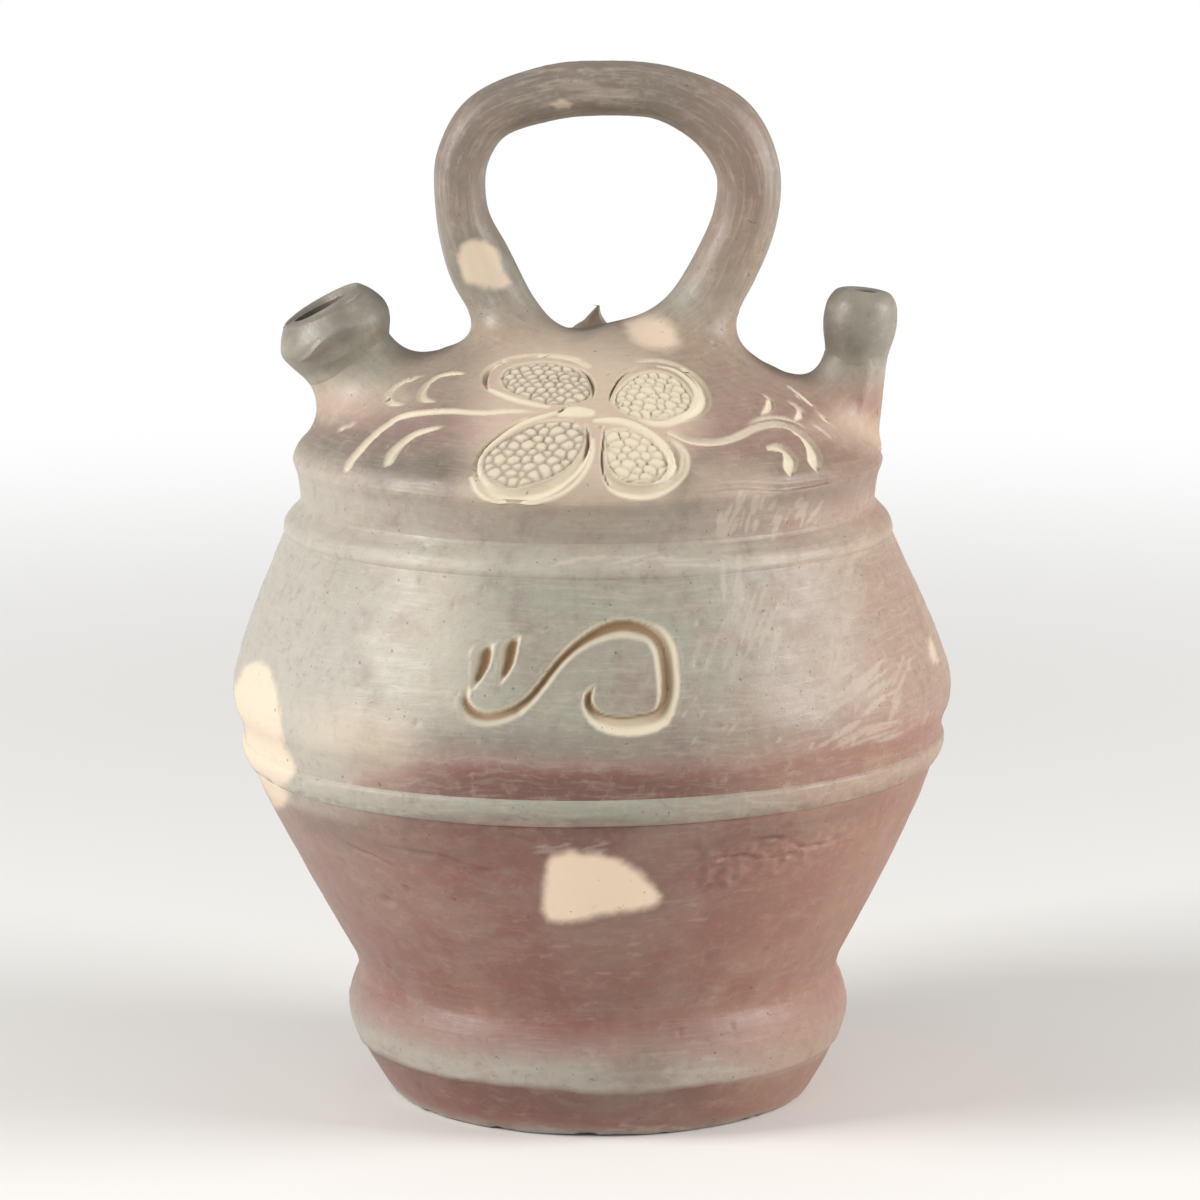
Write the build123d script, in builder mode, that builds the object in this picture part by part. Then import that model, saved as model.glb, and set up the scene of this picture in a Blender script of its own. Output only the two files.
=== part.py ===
from build123d import *
from math import cos, radians, sin, sqrt
import os

# A smoked-clay water jug with a ring handle on its crown, a wide filling mouth and a narrow
# pouring spout. Sizes are millimetres. The jug stands on Z = 0 with its axis on Z, the spout
# is on +X, the mouth on -X, and the carved side faces -Y.

# Thrown body, from the floor up: radii are of the outer face, each height is its own stretch
wall = 5.5                    # thickness of the thrown walls, measured level
floor_thickness = 7.0
foot_radius = 69.6            # widest part of the foot band
base_tuck = 10.9              # how far the base edge lies inside the foot band
foot_edge_step = 2.9          # how far the band's lower edge lies inside its widest part
waist_depth = 3.3             # depth of the crease above the foot band
foot_edge_height = 15.0
foot_bulge_rise = 9.0         # from the band's lower edge up to its widest part
foot_waist_rise = 20.4        # from the band's lower edge up to the crease
lower_wall_height = 65.6      # from the crease up to the seam
lower_wall_crown = 0.6        # how far the lower wall swells off a straight line
seam_radius = 96.7            # crease under the belly, where the two thrown halves meet
belly_swell = 2.7             # how far the belly stands out past the seam
belly_rise = 11.0             # from the seam up to the widest belly
belly_turn_rise = 22.0        # from the seam up to where the belly straightens
belly_turn_tuck = 1.6         # how far the belly has come in there, from its widest
upper_wall_height = 56.5      # from the seam up to the shoulder
upper_wall_crown = 0.9        # how far the wall above the belly swells off a straight line
brow_radius = 81.3            # edge of the dome
brow_face = 2.3               # upright face at the dome's edge, before it is rounded
brow_round = 3.0
brow_overhang = 2.0           # how far the brow stands out past the foot of the collar band
collar_band_height = 11.0     # upright band under the brow
dome_rise = 34.3              # from the dome's edge up to its crown
inner_corner_round = 8.0      # between the floor and the wall, inside
base_edge_chamfer = 0.8

# Cordons: coils pressed into a rebate over the two seams of the body
cordon_rebate = 3.0
belly_cordon_height = 7.4
belly_cordon_tuck = 1.9       # how far the wall under the cordon lies inside the seam
belly_cordon_proud = 0.8
shoulder_cordon_height = 8.5
shoulder_cordon_foot = 4.3    # how far its lower edge stands out past its upper one
shoulder_cordon_proud = 1.6
shoulder_joint_drop = 4.0     # the dome's seam lies this far under the collar band

# Ring handle
loop_offset = 3.4             # the ring stands this far towards the spout
loop_half_width = 39.4        # from the ring's middle to the middle of a leg
loop_rise = 64.6              # from the crown up to the middle of the grip
leg_thickness_mouth_side = 14.0
grip_thickness = 14.8
leg_thickness_spout_side = 17.6
root_thickness = 17.2
grip_depth = 20.0             # front to back
root_depth = 24.0             # front to back, where the legs stand on the dome

# Root coils: soft clay thumbed round each leg of the handle
root_spread_mouth_side = 19.0
root_spread_spout_side = 23.5
root_front_spread = 19.0
root_foot_share = 0.05        # where on the handle's middle line the coil's foot is centred
root_top_share = 0.13         # where on that line the coil ends
coil_lip = 0.6                # how far a coil's upper edge stands off what it holds
coil_sink = 3.5               # how deep a coil's full foot would lie under the dome's face

# Filling mouth: the neck and its folded collar share one tilted axis
mouth_inset = 18.9            # from the brow in to where the mouth's axis leaves the dome
mouth_length = 28.0           # from the dome's face up to the middle of the rim
mouth_tilt = -25.0            # off upright, towards the spout where it is above zero
mouth_bore_radius = 8.8
mouth_wall = 3.8              # thickness of the neck
rim_tuck = 1.3                # how far the rim's edge lies inside the neck's outer face
rim_lip = 0.9                 # thickness of the rim's edge, out to which the bore flares
rim_bulge = 3.5               # how far the collar stands out past the neck, where it is widest
rim_bulge_drop = 8.6          # from the rim down to the collar's widest part
rim_fold = 0.6                # how far the collar's lower edge stands out past the neck
rim_height = 17.6
rim_cover = 2.0               # clay of the collar over the end of the neck
mouth_coil_drop = 20.5        # from the rim down to the coil's upper edge
mouth_coil_spread = 23.0

# Pouring spout: the neck and its bulbous tip share one tilted axis
spout_inset = 10.6            # from the brow in to where the spout's axis leaves the dome
spout_length = 34.9           # from the dome's face up to the tip
spout_tilt = 6.0
spout_hole_radius = 2.4
spout_hole_length = 8.0
spout_hole_wear = 1.1         # how far the hole's edge is worn back, each way
spout_channel_radius = 4.2
spout_wall = 4.3              # thickness of the neck
spigot_step = 1.9             # how far the neck's end inside the bulb is thinned
spigot_length = 4.0
bulb_swell = 1.9              # how far the bulb stands out past the neck, where it is widest
bulb_lip = 1.4                # flat ring round the worn hole
bulb_drop = 8.8               # from the tip down to the bulb's widest part
bulb_height = 16.4
bulb_lap = 0.4                # how far the bulb's lower edge stands out past the neck
spout_coil_drop = 20.0        # from the tip down to the coil's upper edge
spout_coil_inset = 14.3       # from the brow in to the middle of the coil's foot
spout_coil_spread = 18.0
spout_coil_front_spread = 17.0
spout_coil_trim = 0.9         # the coil is wiped off this far inside the brow

# Leaf: pinched point of clay behind the handle's foot
leaf_behind = 21.0            # behind the jug's axis
leaf_aside = 0.5              # from the jug's axis towards the spout
leaf_half_width = 7.5
leaf_half_depth = 4.6
leaf_height = 6.0
leaf_tip_radius = 1.1
leaf_lean = 2.4               # how far the tip stands towards the spout

overrun = 6.0                 # how far cutting shapes run past what they cut


def tilted_plane(reach, length, tilt):
    """Upright plane at a tip: local Y is the axis that leaves the dome there, local X runs across."""
    outward = Vector(sin(radians(tilt)), 0, cos(radians(tilt)))
    tip = Vector(reach, 0, dome_surface(reach)) + outward * length
    return Plane(origin=tip, x_dir=(outward.Z, 0, -outward.X), z_dir=(0, -1, 0))


def dome_surface(radius):
    """Height of the dome's outer face at a distance from the jug's axis."""
    return sphere_centre + sqrt(dome_sphere_radius**2 - radius**2)


def pipe(plane, axis, stretches):
    """Round rod on a tilted axis, through pairs of radius and distance below the plane's origin."""
    with BuildPart() as rod:
        with BuildSketch(plane):
            with BuildLine():
                first_drop = stretches[0][1]
                last_drop = stretches[-1][1]
                outer = [(radius, -drop) for radius, drop in stretches]
                Polyline((0, -first_drop), *outer, (0, -last_drop), close=True)
            make_face()
        revolve(axis=axis)
    return rod.part


def coil(foot_reach, foot_size, top, top_direction, top_size):
    """Coil of soft clay that sweeps in from an oval foot, sunk in the dome, to an oval top edge."""
    foot_out = Vector(foot_reach, 0, dome_surface(foot_reach) - sphere_centre).normalized()
    foot = Vector(0, 0, sphere_centre) + foot_out * (dome_sphere_radius - coil_sink)
    with BuildPart() as form:
        for level_share in coil_level_shares:
            widen = 1 - sqrt(1 - (1 - level_share) ** 2)
            half_front = top_size[0] + (foot_size[0] - top_size[0]) * widen
            half_side = top_size[1] + (foot_size[1] - top_size[1]) * widen
            middle = foot + (top - foot) * level_share
            direction = foot_out * (1 - level_share) + top_direction * level_share
            with BuildSketch(Plane(origin=middle, x_dir=(0, 1, 0), z_dir=direction)):
                Ellipse(half_front, half_side)
        loft()
    return form.part


os.makedirs("parts", exist_ok=True)

# Places worked out from the sizes above
base_radius = foot_radius - base_tuck
foot_edge_radius = foot_radius - foot_edge_step
foot_bulge_height = foot_edge_height + foot_bulge_rise
waist_radius = foot_radius - waist_depth
waist_height = foot_edge_height + foot_waist_rise
seam_height = waist_height + lower_wall_height
cordon_foot_height = seam_height - belly_cordon_height
cordon_foot_radius = seam_radius - belly_cordon_tuck
belly_rebate_radius = cordon_foot_radius - cordon_rebate
belly_radius = seam_radius + belly_swell
belly_turn_radius = belly_radius - belly_turn_tuck
belly_turn_height = seam_height + belly_turn_rise
shoulder_height = seam_height + upper_wall_height
collar_radius = brow_radius - brow_overhang
collar_height = shoulder_height + shoulder_cordon_height
shoulder_radius = collar_radius + shoulder_cordon_foot
shoulder_rebate_radius = collar_radius - cordon_rebate
joint_height = collar_height - shoulder_joint_drop
upper_middle_radius = (belly_turn_radius + shoulder_radius) / 2 + upper_wall_crown
upper_middle_height = (belly_turn_height + shoulder_height) / 2
brow_height = collar_height + collar_band_height
dome_edge_height = brow_height + brow_face
crown_height = dome_edge_height + dome_rise
dome_sphere_radius = (brow_radius**2 + dome_rise**2) / (2 * dome_rise)
sphere_centre = crown_height - dome_sphere_radius
inner_waist_radius = waist_radius - wall
inner_seam_radius = belly_rebate_radius - wall / 2
inner_shoulder_radius = shoulder_rebate_radius - wall / 2
inner_sphere_radius = dome_sphere_radius - wall
coil_level_shares = (0, 0.12, 0.4, 1)

# Lower body: floor, foot band and lower wall, thrown in one
with BuildPart() as lower_body:
    with BuildSketch(Plane.XZ):
        with BuildLine():
            Polyline((0, floor_thickness), (0, 0), (base_radius, 0), (foot_edge_radius, foot_edge_height))
            ThreePointArc(
                (foot_edge_radius, foot_edge_height),
                (foot_radius, foot_bulge_height),
                (waist_radius, waist_height),
            )
            ThreePointArc(
                (waist_radius, waist_height),
                (
                    (waist_radius + cordon_foot_radius) / 2 + lower_wall_crown,
                    (waist_height + cordon_foot_height) / 2,
                ),
                (cordon_foot_radius, cordon_foot_height),
            )
            Polyline(
                (cordon_foot_radius, cordon_foot_height),
                (belly_rebate_radius, cordon_foot_height),
                (belly_rebate_radius, seam_height),
                (inner_seam_radius, seam_height),
                (inner_waist_radius, waist_height),
                (inner_waist_radius, floor_thickness),
                (0, floor_thickness),
            )
        make_face()
    revolve(axis=Axis.Z)
    round_edges = lower_body.edges().filter_by(GeomType.CIRCLE)
    fillet(round_edges.filter_by_position(Axis.Z, floor_thickness, floor_thickness), inner_corner_round)
    chamfer(lower_body.edges().filter_by(GeomType.CIRCLE).sort_by(Axis.Z)[0], base_edge_chamfer)

# Belly cordon: coil over the seam between the two halves
with BuildPart() as belly_cordon:
    with BuildSketch(Plane.XZ):
        with BuildLine():
            Polyline(
                (seam_radius, seam_height),
                (belly_rebate_radius, seam_height),
                (belly_rebate_radius, cordon_foot_height),
                (cordon_foot_radius, cordon_foot_height),
            )
            ThreePointArc(
                (cordon_foot_radius, cordon_foot_height),
                (seam_radius + belly_cordon_proud, (seam_height + cordon_foot_height) / 2),
                (seam_radius, seam_height),
            )
        make_face()
    revolve(axis=Axis.Z)

# Upper body: belly and upper wall
with BuildPart() as upper_body:
    with BuildSketch(Plane.XZ):
        with BuildLine():
            Line((inner_seam_radius, seam_height), (seam_radius, seam_height))
            ThreePointArc(
                (seam_radius, seam_height),
                (belly_radius, seam_height + belly_rise),
                (belly_turn_radius, belly_turn_height),
            )
            ThreePointArc(
                (belly_turn_radius, belly_turn_height),
                (upper_middle_radius, upper_middle_height),
                (shoulder_radius, shoulder_height),
            )
            Polyline(
                (shoulder_radius, shoulder_height),
                (shoulder_rebate_radius, shoulder_height),
                (shoulder_rebate_radius, joint_height),
                (inner_shoulder_radius, joint_height),
                (inner_shoulder_radius, shoulder_height),
            )
            ThreePointArc(
                (inner_shoulder_radius, shoulder_height),
                (upper_middle_radius - wall, upper_middle_height),
                (belly_turn_radius - wall, belly_turn_height),
            )
            Line((belly_turn_radius - wall, belly_turn_height), (inner_seam_radius, seam_height))
        make_face()
    revolve(axis=Axis.Z)

# Shoulder cordon: bead over the seam between the upper body and the dome
with BuildPart() as shoulder_cordon:
    with BuildSketch(Plane.XZ):
        with BuildLine():
            Polyline(
                (collar_radius, collar_height),
                (shoulder_rebate_radius, collar_height),
                (shoulder_rebate_radius, shoulder_height),
                (shoulder_radius, shoulder_height),
            )
            ThreePointArc(
                (shoulder_radius, shoulder_height),
                (
                    (shoulder_radius + collar_radius) / 2 + shoulder_cordon_proud,
                    (shoulder_height + collar_height) / 2,
                ),
                (collar_radius, collar_height),
            )
        make_face()
    revolve(axis=Axis.Z)

# Full outer form of the band and the dome, which seats everything that stands on them
with BuildPart() as dome_form:
    with BuildSketch(Plane.XZ):
        with BuildLine():
            Polyline(
                (0, crown_height),
                (0, joint_height),
                (shoulder_rebate_radius, joint_height),
                (shoulder_rebate_radius, collar_height),
                (collar_radius, collar_height),
                (brow_radius, brow_height),
                (brow_radius, dome_edge_height),
            )
            ThreePointArc(
                (brow_radius, dome_edge_height),
                (brow_radius / 2, dome_surface(brow_radius / 2)),
                (0, crown_height),
            )
        make_face()
    revolve(axis=Axis.Z)
    brow = dome_form.edges().filter_by_position(Axis.Z, dome_edge_height, dome_edge_height)
    fillet(brow, brow_round)

# Hollow under the dome: a ball of the inner radius, cut to the width of the joint
with BuildPart() as dome_hollow:
    with Locations((0, 0, sphere_centre)):
        Sphere(inner_sphere_radius)
    with Locations((0, 0, joint_height)):
        Cylinder(inner_shoulder_radius, dome_sphere_radius * 2, mode=Mode.INTERSECT)

mouth_neck_radius = mouth_bore_radius + mouth_wall
rim_radius = mouth_neck_radius - rim_tuck
spout_neck_radius = spout_channel_radius + spout_wall
spout_mouth_radius = spout_hole_radius + spout_hole_wear
bulb_top_radius = spout_mouth_radius + bulb_lip
bulb_radius = spout_neck_radius + bulb_swell
mouth_reach = brow_radius - mouth_inset
mouth_plane = tilted_plane(-mouth_reach, mouth_length, mouth_tilt)
spout_plane = tilted_plane(brow_radius - spout_inset, spout_length, spout_tilt)
mouth_axis = Axis(mouth_plane.origin, mouth_plane.y_dir)
spout_axis = Axis(spout_plane.origin, spout_plane.y_dir)

# Rods that fill the two channels and the two necks, each from its tip down into the hollow
mouth_depth = mouth_plane.origin.Z - brow_height
spout_depth = spout_plane.origin.Z - brow_height
mouth_bore = pipe(mouth_plane, mouth_axis, [(mouth_bore_radius, -overrun), (mouth_bore_radius, mouth_depth)])
mouth_rod = pipe(mouth_plane, mouth_axis, [(mouth_neck_radius, rim_cover), (mouth_neck_radius, mouth_depth)])
spout_channel = pipe(
    spout_plane,
    spout_axis,
    [
        (spout_mouth_radius, -overrun),
        (spout_mouth_radius, 0),
        (spout_hole_radius, spout_hole_wear),
        (spout_hole_radius, spout_hole_length),
        (spout_channel_radius, spout_hole_length + spout_channel_radius),
        (spout_channel_radius, spout_depth),
    ],
)
spout_rod = pipe(
    spout_plane,
    spout_axis,
    [
        (spout_neck_radius - spigot_step, bulb_height - spigot_length),
        (spout_neck_radius - spigot_step, bulb_height),
        (spout_neck_radius, bulb_height),
        (spout_neck_radius, spout_depth),
    ],
)

# Collar band: upright ring between the shoulder and the brow, which carries the dome
brow_plane = Plane.XY.offset(brow_height)
with BuildPart() as collar_band:
    add(dome_form.part)
    add(dome_hollow.part, mode=Mode.SUBTRACT)
    split(bisect_by=brow_plane, keep=Keep.BOTTOM)

# Dome: closed cap of the jug, pierced for the mouth and the spout
with BuildPart() as dome:
    add(dome_form.part)
    add(dome_hollow.part, mode=Mode.SUBTRACT)
    add(mouth_bore, mode=Mode.SUBTRACT)
    add(spout_channel, mode=Mode.SUBTRACT)
    split(bisect_by=brow_plane, keep=Keep.TOP)

# Middle line of the ring handle: shares of its half width and its rise, and the size that its
# thickness follows there
loop_shares = (
    (-0.52, -0.12, root_thickness),
    (-0.70, 0.07, root_thickness),
    (-0.88, 0.28, root_thickness),
    (-0.985, 0.48, leg_thickness_mouth_side),
    (-0.985, 0.70, leg_thickness_mouth_side),
    (-0.80, 0.885, leg_thickness_mouth_side),
    (-0.40, 0.98, grip_thickness),
    (0.0, 1.003, grip_thickness),
    (0.42, 0.98, grip_thickness),
    (0.80, 0.86, leg_thickness_spout_side),
    (0.985, 0.67, leg_thickness_spout_side),
    (0.975, 0.46, leg_thickness_spout_side),
    (0.84, 0.25, leg_thickness_spout_side),
    (0.66, 0.06, root_thickness),
    (0.50, -0.11, root_thickness),
)
with BuildLine(Plane.XZ) as loop_line:
    Spline(
        *[
            (loop_offset + across * loop_half_width, crown_height + up * loop_rise)
            for across, up, thickness in loop_shares
        ]
    )
loop_curve = loop_line.edges()[0]


def loop_section(place):
    """Half depth and half thickness of the handle at a place in the list of its middle line."""
    low = min(int(place), len(loop_shares) - 2)
    thickness = loop_shares[low][2] + (loop_shares[low + 1][2] - loop_shares[low][2]) * (place - low)
    ends_share = abs(2 * place / (len(loop_shares) - 1) - 1) ** 4
    depth = grip_depth + (root_depth - grip_depth) * ends_share
    return depth / 2, thickness / 2


# Handle: one pulled bar, bent into a ring and stood on the dome
with BuildPart() as handle:
    for place, (across, up, thickness) in enumerate(loop_shares):
        point = Vector(loop_offset + across * loop_half_width, 0, crown_height + up * loop_rise)
        along = loop_curve.tangent_at(loop_curve.param_at_point(point))
        with BuildSketch(Plane(origin=point, x_dir=(0, 1, 0), z_dir=along)):
            Ellipse(*loop_section(place))
    loft()
    add(dome_form.part, mode=Mode.SUBTRACT)


def handle_root(foot_share, share, spread):
    """Coil round one leg of the handle, between two shares of the handle's middle line."""
    half_depth, half_thickness = loop_section(share * (len(loop_shares) - 1))
    direction = loop_curve.tangent_at(share)
    if direction.Z < 0:
        direction = -direction
    with BuildPart() as root:
        add(
            coil(
                loop_curve.position_at(foot_share).X,
                (root_front_spread, spread),
                loop_curve.position_at(share),
                direction,
                (half_depth + coil_lip, half_thickness + coil_lip),
            )
        )
        add(handle.part, mode=Mode.SUBTRACT)
        add(dome_form.part, mode=Mode.SUBTRACT)
    return root


handle_root_mouth_side = handle_root(root_foot_share, root_top_share, root_spread_mouth_side)
handle_root_spout_side = handle_root(1 - root_foot_share, 1 - root_top_share, root_spread_spout_side)

# Filling mouth: neck, folded collar over its end, and the coil that holds it
with BuildPart() as mouth_neck:
    add(mouth_rod)
    add(mouth_bore, mode=Mode.SUBTRACT)
    add(dome_form.part, mode=Mode.SUBTRACT)

with BuildPart() as mouth_rim:
    with BuildSketch(mouth_plane):
        with BuildLine():
            Polyline(
                (mouth_neck_radius + rim_fold, -rim_height),
                (mouth_neck_radius, -rim_height),
                (mouth_neck_radius, -rim_cover),
                (mouth_bore_radius, -rim_cover),
                (rim_radius - rim_lip, 0),
                (rim_radius, 0),
            )
            ThreePointArc(
                (rim_radius, 0),
                (mouth_neck_radius + rim_bulge, -rim_bulge_drop),
                (mouth_neck_radius + rim_fold, -rim_height),
            )
        make_face()
    revolve(axis=mouth_axis)

with BuildPart() as mouth_coil:
    add(
        coil(
            -mouth_reach,
            (mouth_coil_spread, mouth_coil_spread),
            mouth_plane.from_local_coords(Vector(0, -mouth_coil_drop, 0)),
            mouth_plane.y_dir,
            (mouth_neck_radius + coil_lip, mouth_neck_radius + coil_lip),
        )
    )
    add(mouth_rod, mode=Mode.SUBTRACT)
    add(dome_form.part, mode=Mode.SUBTRACT)

# Pouring spout: neck with a spigot, bulb pressed over it, and the coil that holds it
with BuildPart() as spout_neck:
    add(spout_rod)
    add(spout_channel, mode=Mode.SUBTRACT)
    add(dome_form.part, mode=Mode.SUBTRACT)

with BuildPart() as spout_tip:
    with BuildSketch(spout_plane):
        with BuildLine():
            foot = (spout_neck_radius + bulb_lap, -bulb_height)
            widest = (bulb_radius, -bulb_drop)
            Polyline(foot, (0, -bulb_height), (0, 0), (bulb_top_radius, 0))
            TangentArc(widest, (bulb_top_radius, 0), tangent=(0, 1))
            TangentArc(widest, foot, tangent=(0, -1))
        make_face()
    revolve(axis=spout_axis)
    add(spout_rod, mode=Mode.SUBTRACT)
    add(spout_channel, mode=Mode.SUBTRACT)

with BuildPart() as spout_coil:
    add(
        coil(
            brow_radius - spout_coil_inset,
            (spout_coil_front_spread, spout_coil_spread),
            spout_plane.from_local_coords(Vector(0, -spout_coil_drop, 0)),
            spout_plane.y_dir,
            (spout_neck_radius + coil_lip, spout_neck_radius + coil_lip),
        )
    )
    add(spout_rod, mode=Mode.SUBTRACT)
    add(dome_form.part, mode=Mode.SUBTRACT)
    Cylinder(brow_radius - spout_coil_trim, 2 * spout_plane.origin.Z, mode=Mode.INTERSECT)

# Leaf: pinched point of clay on the back of the crown
with BuildPart() as crown_leaf:
    leaf_foot_height = dome_surface(leaf_behind + leaf_half_depth) - coil_lip
    leaf_tip_height = dome_surface(leaf_behind) + leaf_height
    for level_share in (0, 0.45, 1):
        narrow_share = (1 - level_share) ** 2
        height = leaf_foot_height + (leaf_tip_height - leaf_foot_height) * level_share
        with BuildSketch(Plane(origin=(leaf_aside + leaf_lean * level_share, leaf_behind, height))):
            Ellipse(
                leaf_tip_radius + (leaf_half_width - leaf_tip_radius) * narrow_share,
                leaf_tip_radius + (leaf_half_depth - leaf_tip_radius) * narrow_share,
            )
    loft()
    add(dome_form.part, mode=Mode.SUBTRACT)

pieces = {
    "lower_body": lower_body,
    "belly_cordon": belly_cordon,
    "upper_body": upper_body,
    "shoulder_cordon": shoulder_cordon,
    "collar_band": collar_band,
    "dome": dome,
    "handle": handle,
    "handle_root_mouth_side": handle_root_mouth_side,
    "handle_root_spout_side": handle_root_spout_side,
    "mouth_neck": mouth_neck,
    "mouth_rim": mouth_rim,
    "mouth_coil": mouth_coil,
    "spout_neck": spout_neck,
    "spout_tip": spout_tip,
    "spout_coil": spout_coil,
    "crown_leaf": crown_leaf,
}
for name, piece in pieces.items():
    piece.part.label = name
    export_step(piece.part, f"parts/{name}.step")
    print(name, len(piece.part.solids()), round(piece.part.volume), piece.part.is_valid)
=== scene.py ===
from functools import lru_cache
import math

import bmesh
import bpy
import numpy as np
from mathutils import Matrix, Vector


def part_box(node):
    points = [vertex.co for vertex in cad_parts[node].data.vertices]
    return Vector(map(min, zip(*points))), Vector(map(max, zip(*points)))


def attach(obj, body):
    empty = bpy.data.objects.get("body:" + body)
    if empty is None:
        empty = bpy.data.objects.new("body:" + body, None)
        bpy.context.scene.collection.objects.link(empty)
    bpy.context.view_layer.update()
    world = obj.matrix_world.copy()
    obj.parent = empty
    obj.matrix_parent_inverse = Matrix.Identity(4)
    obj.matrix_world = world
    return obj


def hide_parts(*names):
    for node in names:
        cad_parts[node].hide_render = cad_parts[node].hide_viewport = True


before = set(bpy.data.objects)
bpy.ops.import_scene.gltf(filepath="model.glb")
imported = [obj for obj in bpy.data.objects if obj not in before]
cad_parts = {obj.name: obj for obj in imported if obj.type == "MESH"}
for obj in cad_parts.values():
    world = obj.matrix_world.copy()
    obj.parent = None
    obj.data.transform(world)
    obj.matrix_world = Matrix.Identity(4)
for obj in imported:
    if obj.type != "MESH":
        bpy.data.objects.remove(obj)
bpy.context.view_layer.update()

# A smoked-clay water jug: thrown body, ring handle, filling mouth, pouring spout and carved front.
# Metres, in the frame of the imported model: Z is up, the spout is on +X and the carving faces -Y.

MM = 0.001
TURN = 2 * math.pi

# Camera, placed as the photograph was taken: the pixels below are of a 1200 by 1200 frame
frame_pixels = 1200
focal_pixels = 5580.0
camera_aside = 2.2 * MM
camera_back = 1516.9 * MM
camera_height = 409.9 * MM
camera_pitch = math.radians(10.198)   # down from level
sensor_width = 36.0

# Thrown body, measured on the outer face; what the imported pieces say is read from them
brow_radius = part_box("dome")[1].x
crown_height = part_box("dome")[1].z
belly_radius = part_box("upper_body")[1].x
seam_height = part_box("upper_body")[0].z
cordon_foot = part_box("belly_cordon")[0].z
wall = 5.5 * MM
corner_angle = math.radians(60)   # edges sharper than this are shaded as corners
dome_rise = 34.3 * MM
dome_sphere = (brow_radius**2 + dome_rise**2) / (2 * dome_rise)
dome_centre = crown_height - dome_sphere
brow_bottom = 181 * MM
crown_dent = 2.6 * MM          # pressed in by a finger between the handle's legs
dent_middle = np.array((-6.0, 6.0)) * MM
dent_reach = np.array((9.0, 21.0)) * MM

# The body leans a little, as thrown pots do: how far its middle stands aside at each height
lean_heights = (0, 60 * MM, 112 * MM, 165 * MM)
lean_asides = (2.1 * MM, 1.1 * MM, 0, -1.2 * MM)
seam_slope = 0.0113           # the belly's seam drops this much towards the mouth
seam_slope_reach = 22 * MM    # above and below the seam

# Ring handle: shares of its half width and its rise for the middle line, then half the thickness
loop_aside = 3.4 * MM
loop_half_width = 39.4 * MM
loop_rise = 64.6 * MM
grip_half_depth = 10.0 * MM
root_half_depth = 12.0 * MM
loop_shares = (
    (-0.52, -0.12, 8.6 * MM),
    (-0.70, 0.07, 8.6 * MM),
    (-0.88, 0.28, 8.6 * MM),
    (-0.985, 0.48, 7.0 * MM),
    (-0.985, 0.70, 7.0 * MM),
    (-0.80, 0.885, 7.0 * MM),
    (-0.40, 0.98, 7.4 * MM),
    (0.0, 1.003, 7.4 * MM),
    (0.42, 0.98, 7.4 * MM),
    (0.80, 0.86, 8.8 * MM),
    (0.985, 0.67, 8.8 * MM),
    (0.975, 0.46, 8.8 * MM),
    (0.84, 0.25, 8.8 * MM),
    (0.66, 0.06, 8.6 * MM),
    (0.50, -0.11, 8.6 * MM),
)

# Filling mouth and pouring spout: each has a tip and an axis that leans off upright
mouth_tip = np.array((-74.23, 0, 220.28)) * MM
mouth_lean = math.radians(-25)
mouth_neck_radius = 12.6 * MM
mouth_bore_radius = 8.8 * MM
mouth_foot_drop = 28 * MM       # from the tip down the axis to the dome
spout_tip = np.array((74.35, 0, 223.6)) * MM
spout_lean = math.radians(6)
spout_neck_radius = 8.5 * MM
spout_bore_radius = 4.2 * MM
spout_foot_drop = 34.9 * MM     # from the tip down the axis to the dome


def smooth_step(low, high, values):
    """Eases from 0 at low to 1 at high."""
    share = np.clip((values - low) / (high - low), 0, 1)
    return share * share * (3 - 2 * share)


def smooth_least(first, second, reach):
    """The lesser of two distances, rounded over a reach where they meet."""
    near = np.maximum(reach - np.abs(first - second), 0) / reach
    return np.minimum(first, second) - near * near * reach / 4


def lean(height):
    """How far the body's middle stands aside at a height."""
    return np.interp(height, lean_heights, lean_asides)


def chance(cells, seed):
    """A fixed random number from -1 to 1 for each whole-numbered cell."""
    mixed = cells[..., 0] * 73856093 ^ cells[..., 1] * 19349663 ^ cells[..., 2] * 83492791
    mixed = (mixed + seed * 9176) & 0x7FFFFFFF
    mixed = (mixed ^ (mixed >> 13)) * 1274126177 & 0x7FFFFFFF
    return ((mixed ^ (mixed >> 16)) & 0xFFFF) / 32767.5 - 1


def noise(places, size, seed):
    """Smooth random field from -1 to 1 whose lumps are about one size across."""
    scaled = places / size
    cells = np.floor(scaled).astype(np.int64)
    part = scaled - cells
    part = part * part * (3 - 2 * part)
    total = 0
    for corner in np.ndindex(2, 2, 2):
        weight = np.prod(np.where(np.array(corner), part, 1 - part), axis=-1)
        total = total + weight * chance(cells + np.array(corner), seed)
    return total


def lines(values, size, seed):
    """Smooth random lines across one direction."""
    flat = np.stack([values, values * 0 + 0.5 * size, values * 0 + 0.5 * size], -1)
    return noise(flat, size, seed)


def even(path, spacing):
    """Points spread evenly along a path."""
    path = np.asarray(path, float)
    steps = np.linalg.norm(np.diff(path, axis=0), axis=1)
    along = np.concatenate([[0], np.cumsum(steps)])
    count = max(2, int(round(along[-1] / spacing)) + 1)
    wanted = np.linspace(0, along[-1], count)
    return np.stack([np.interp(wanted, along, path[:, axis]) for axis in range(path.shape[1])], -1)


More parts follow.
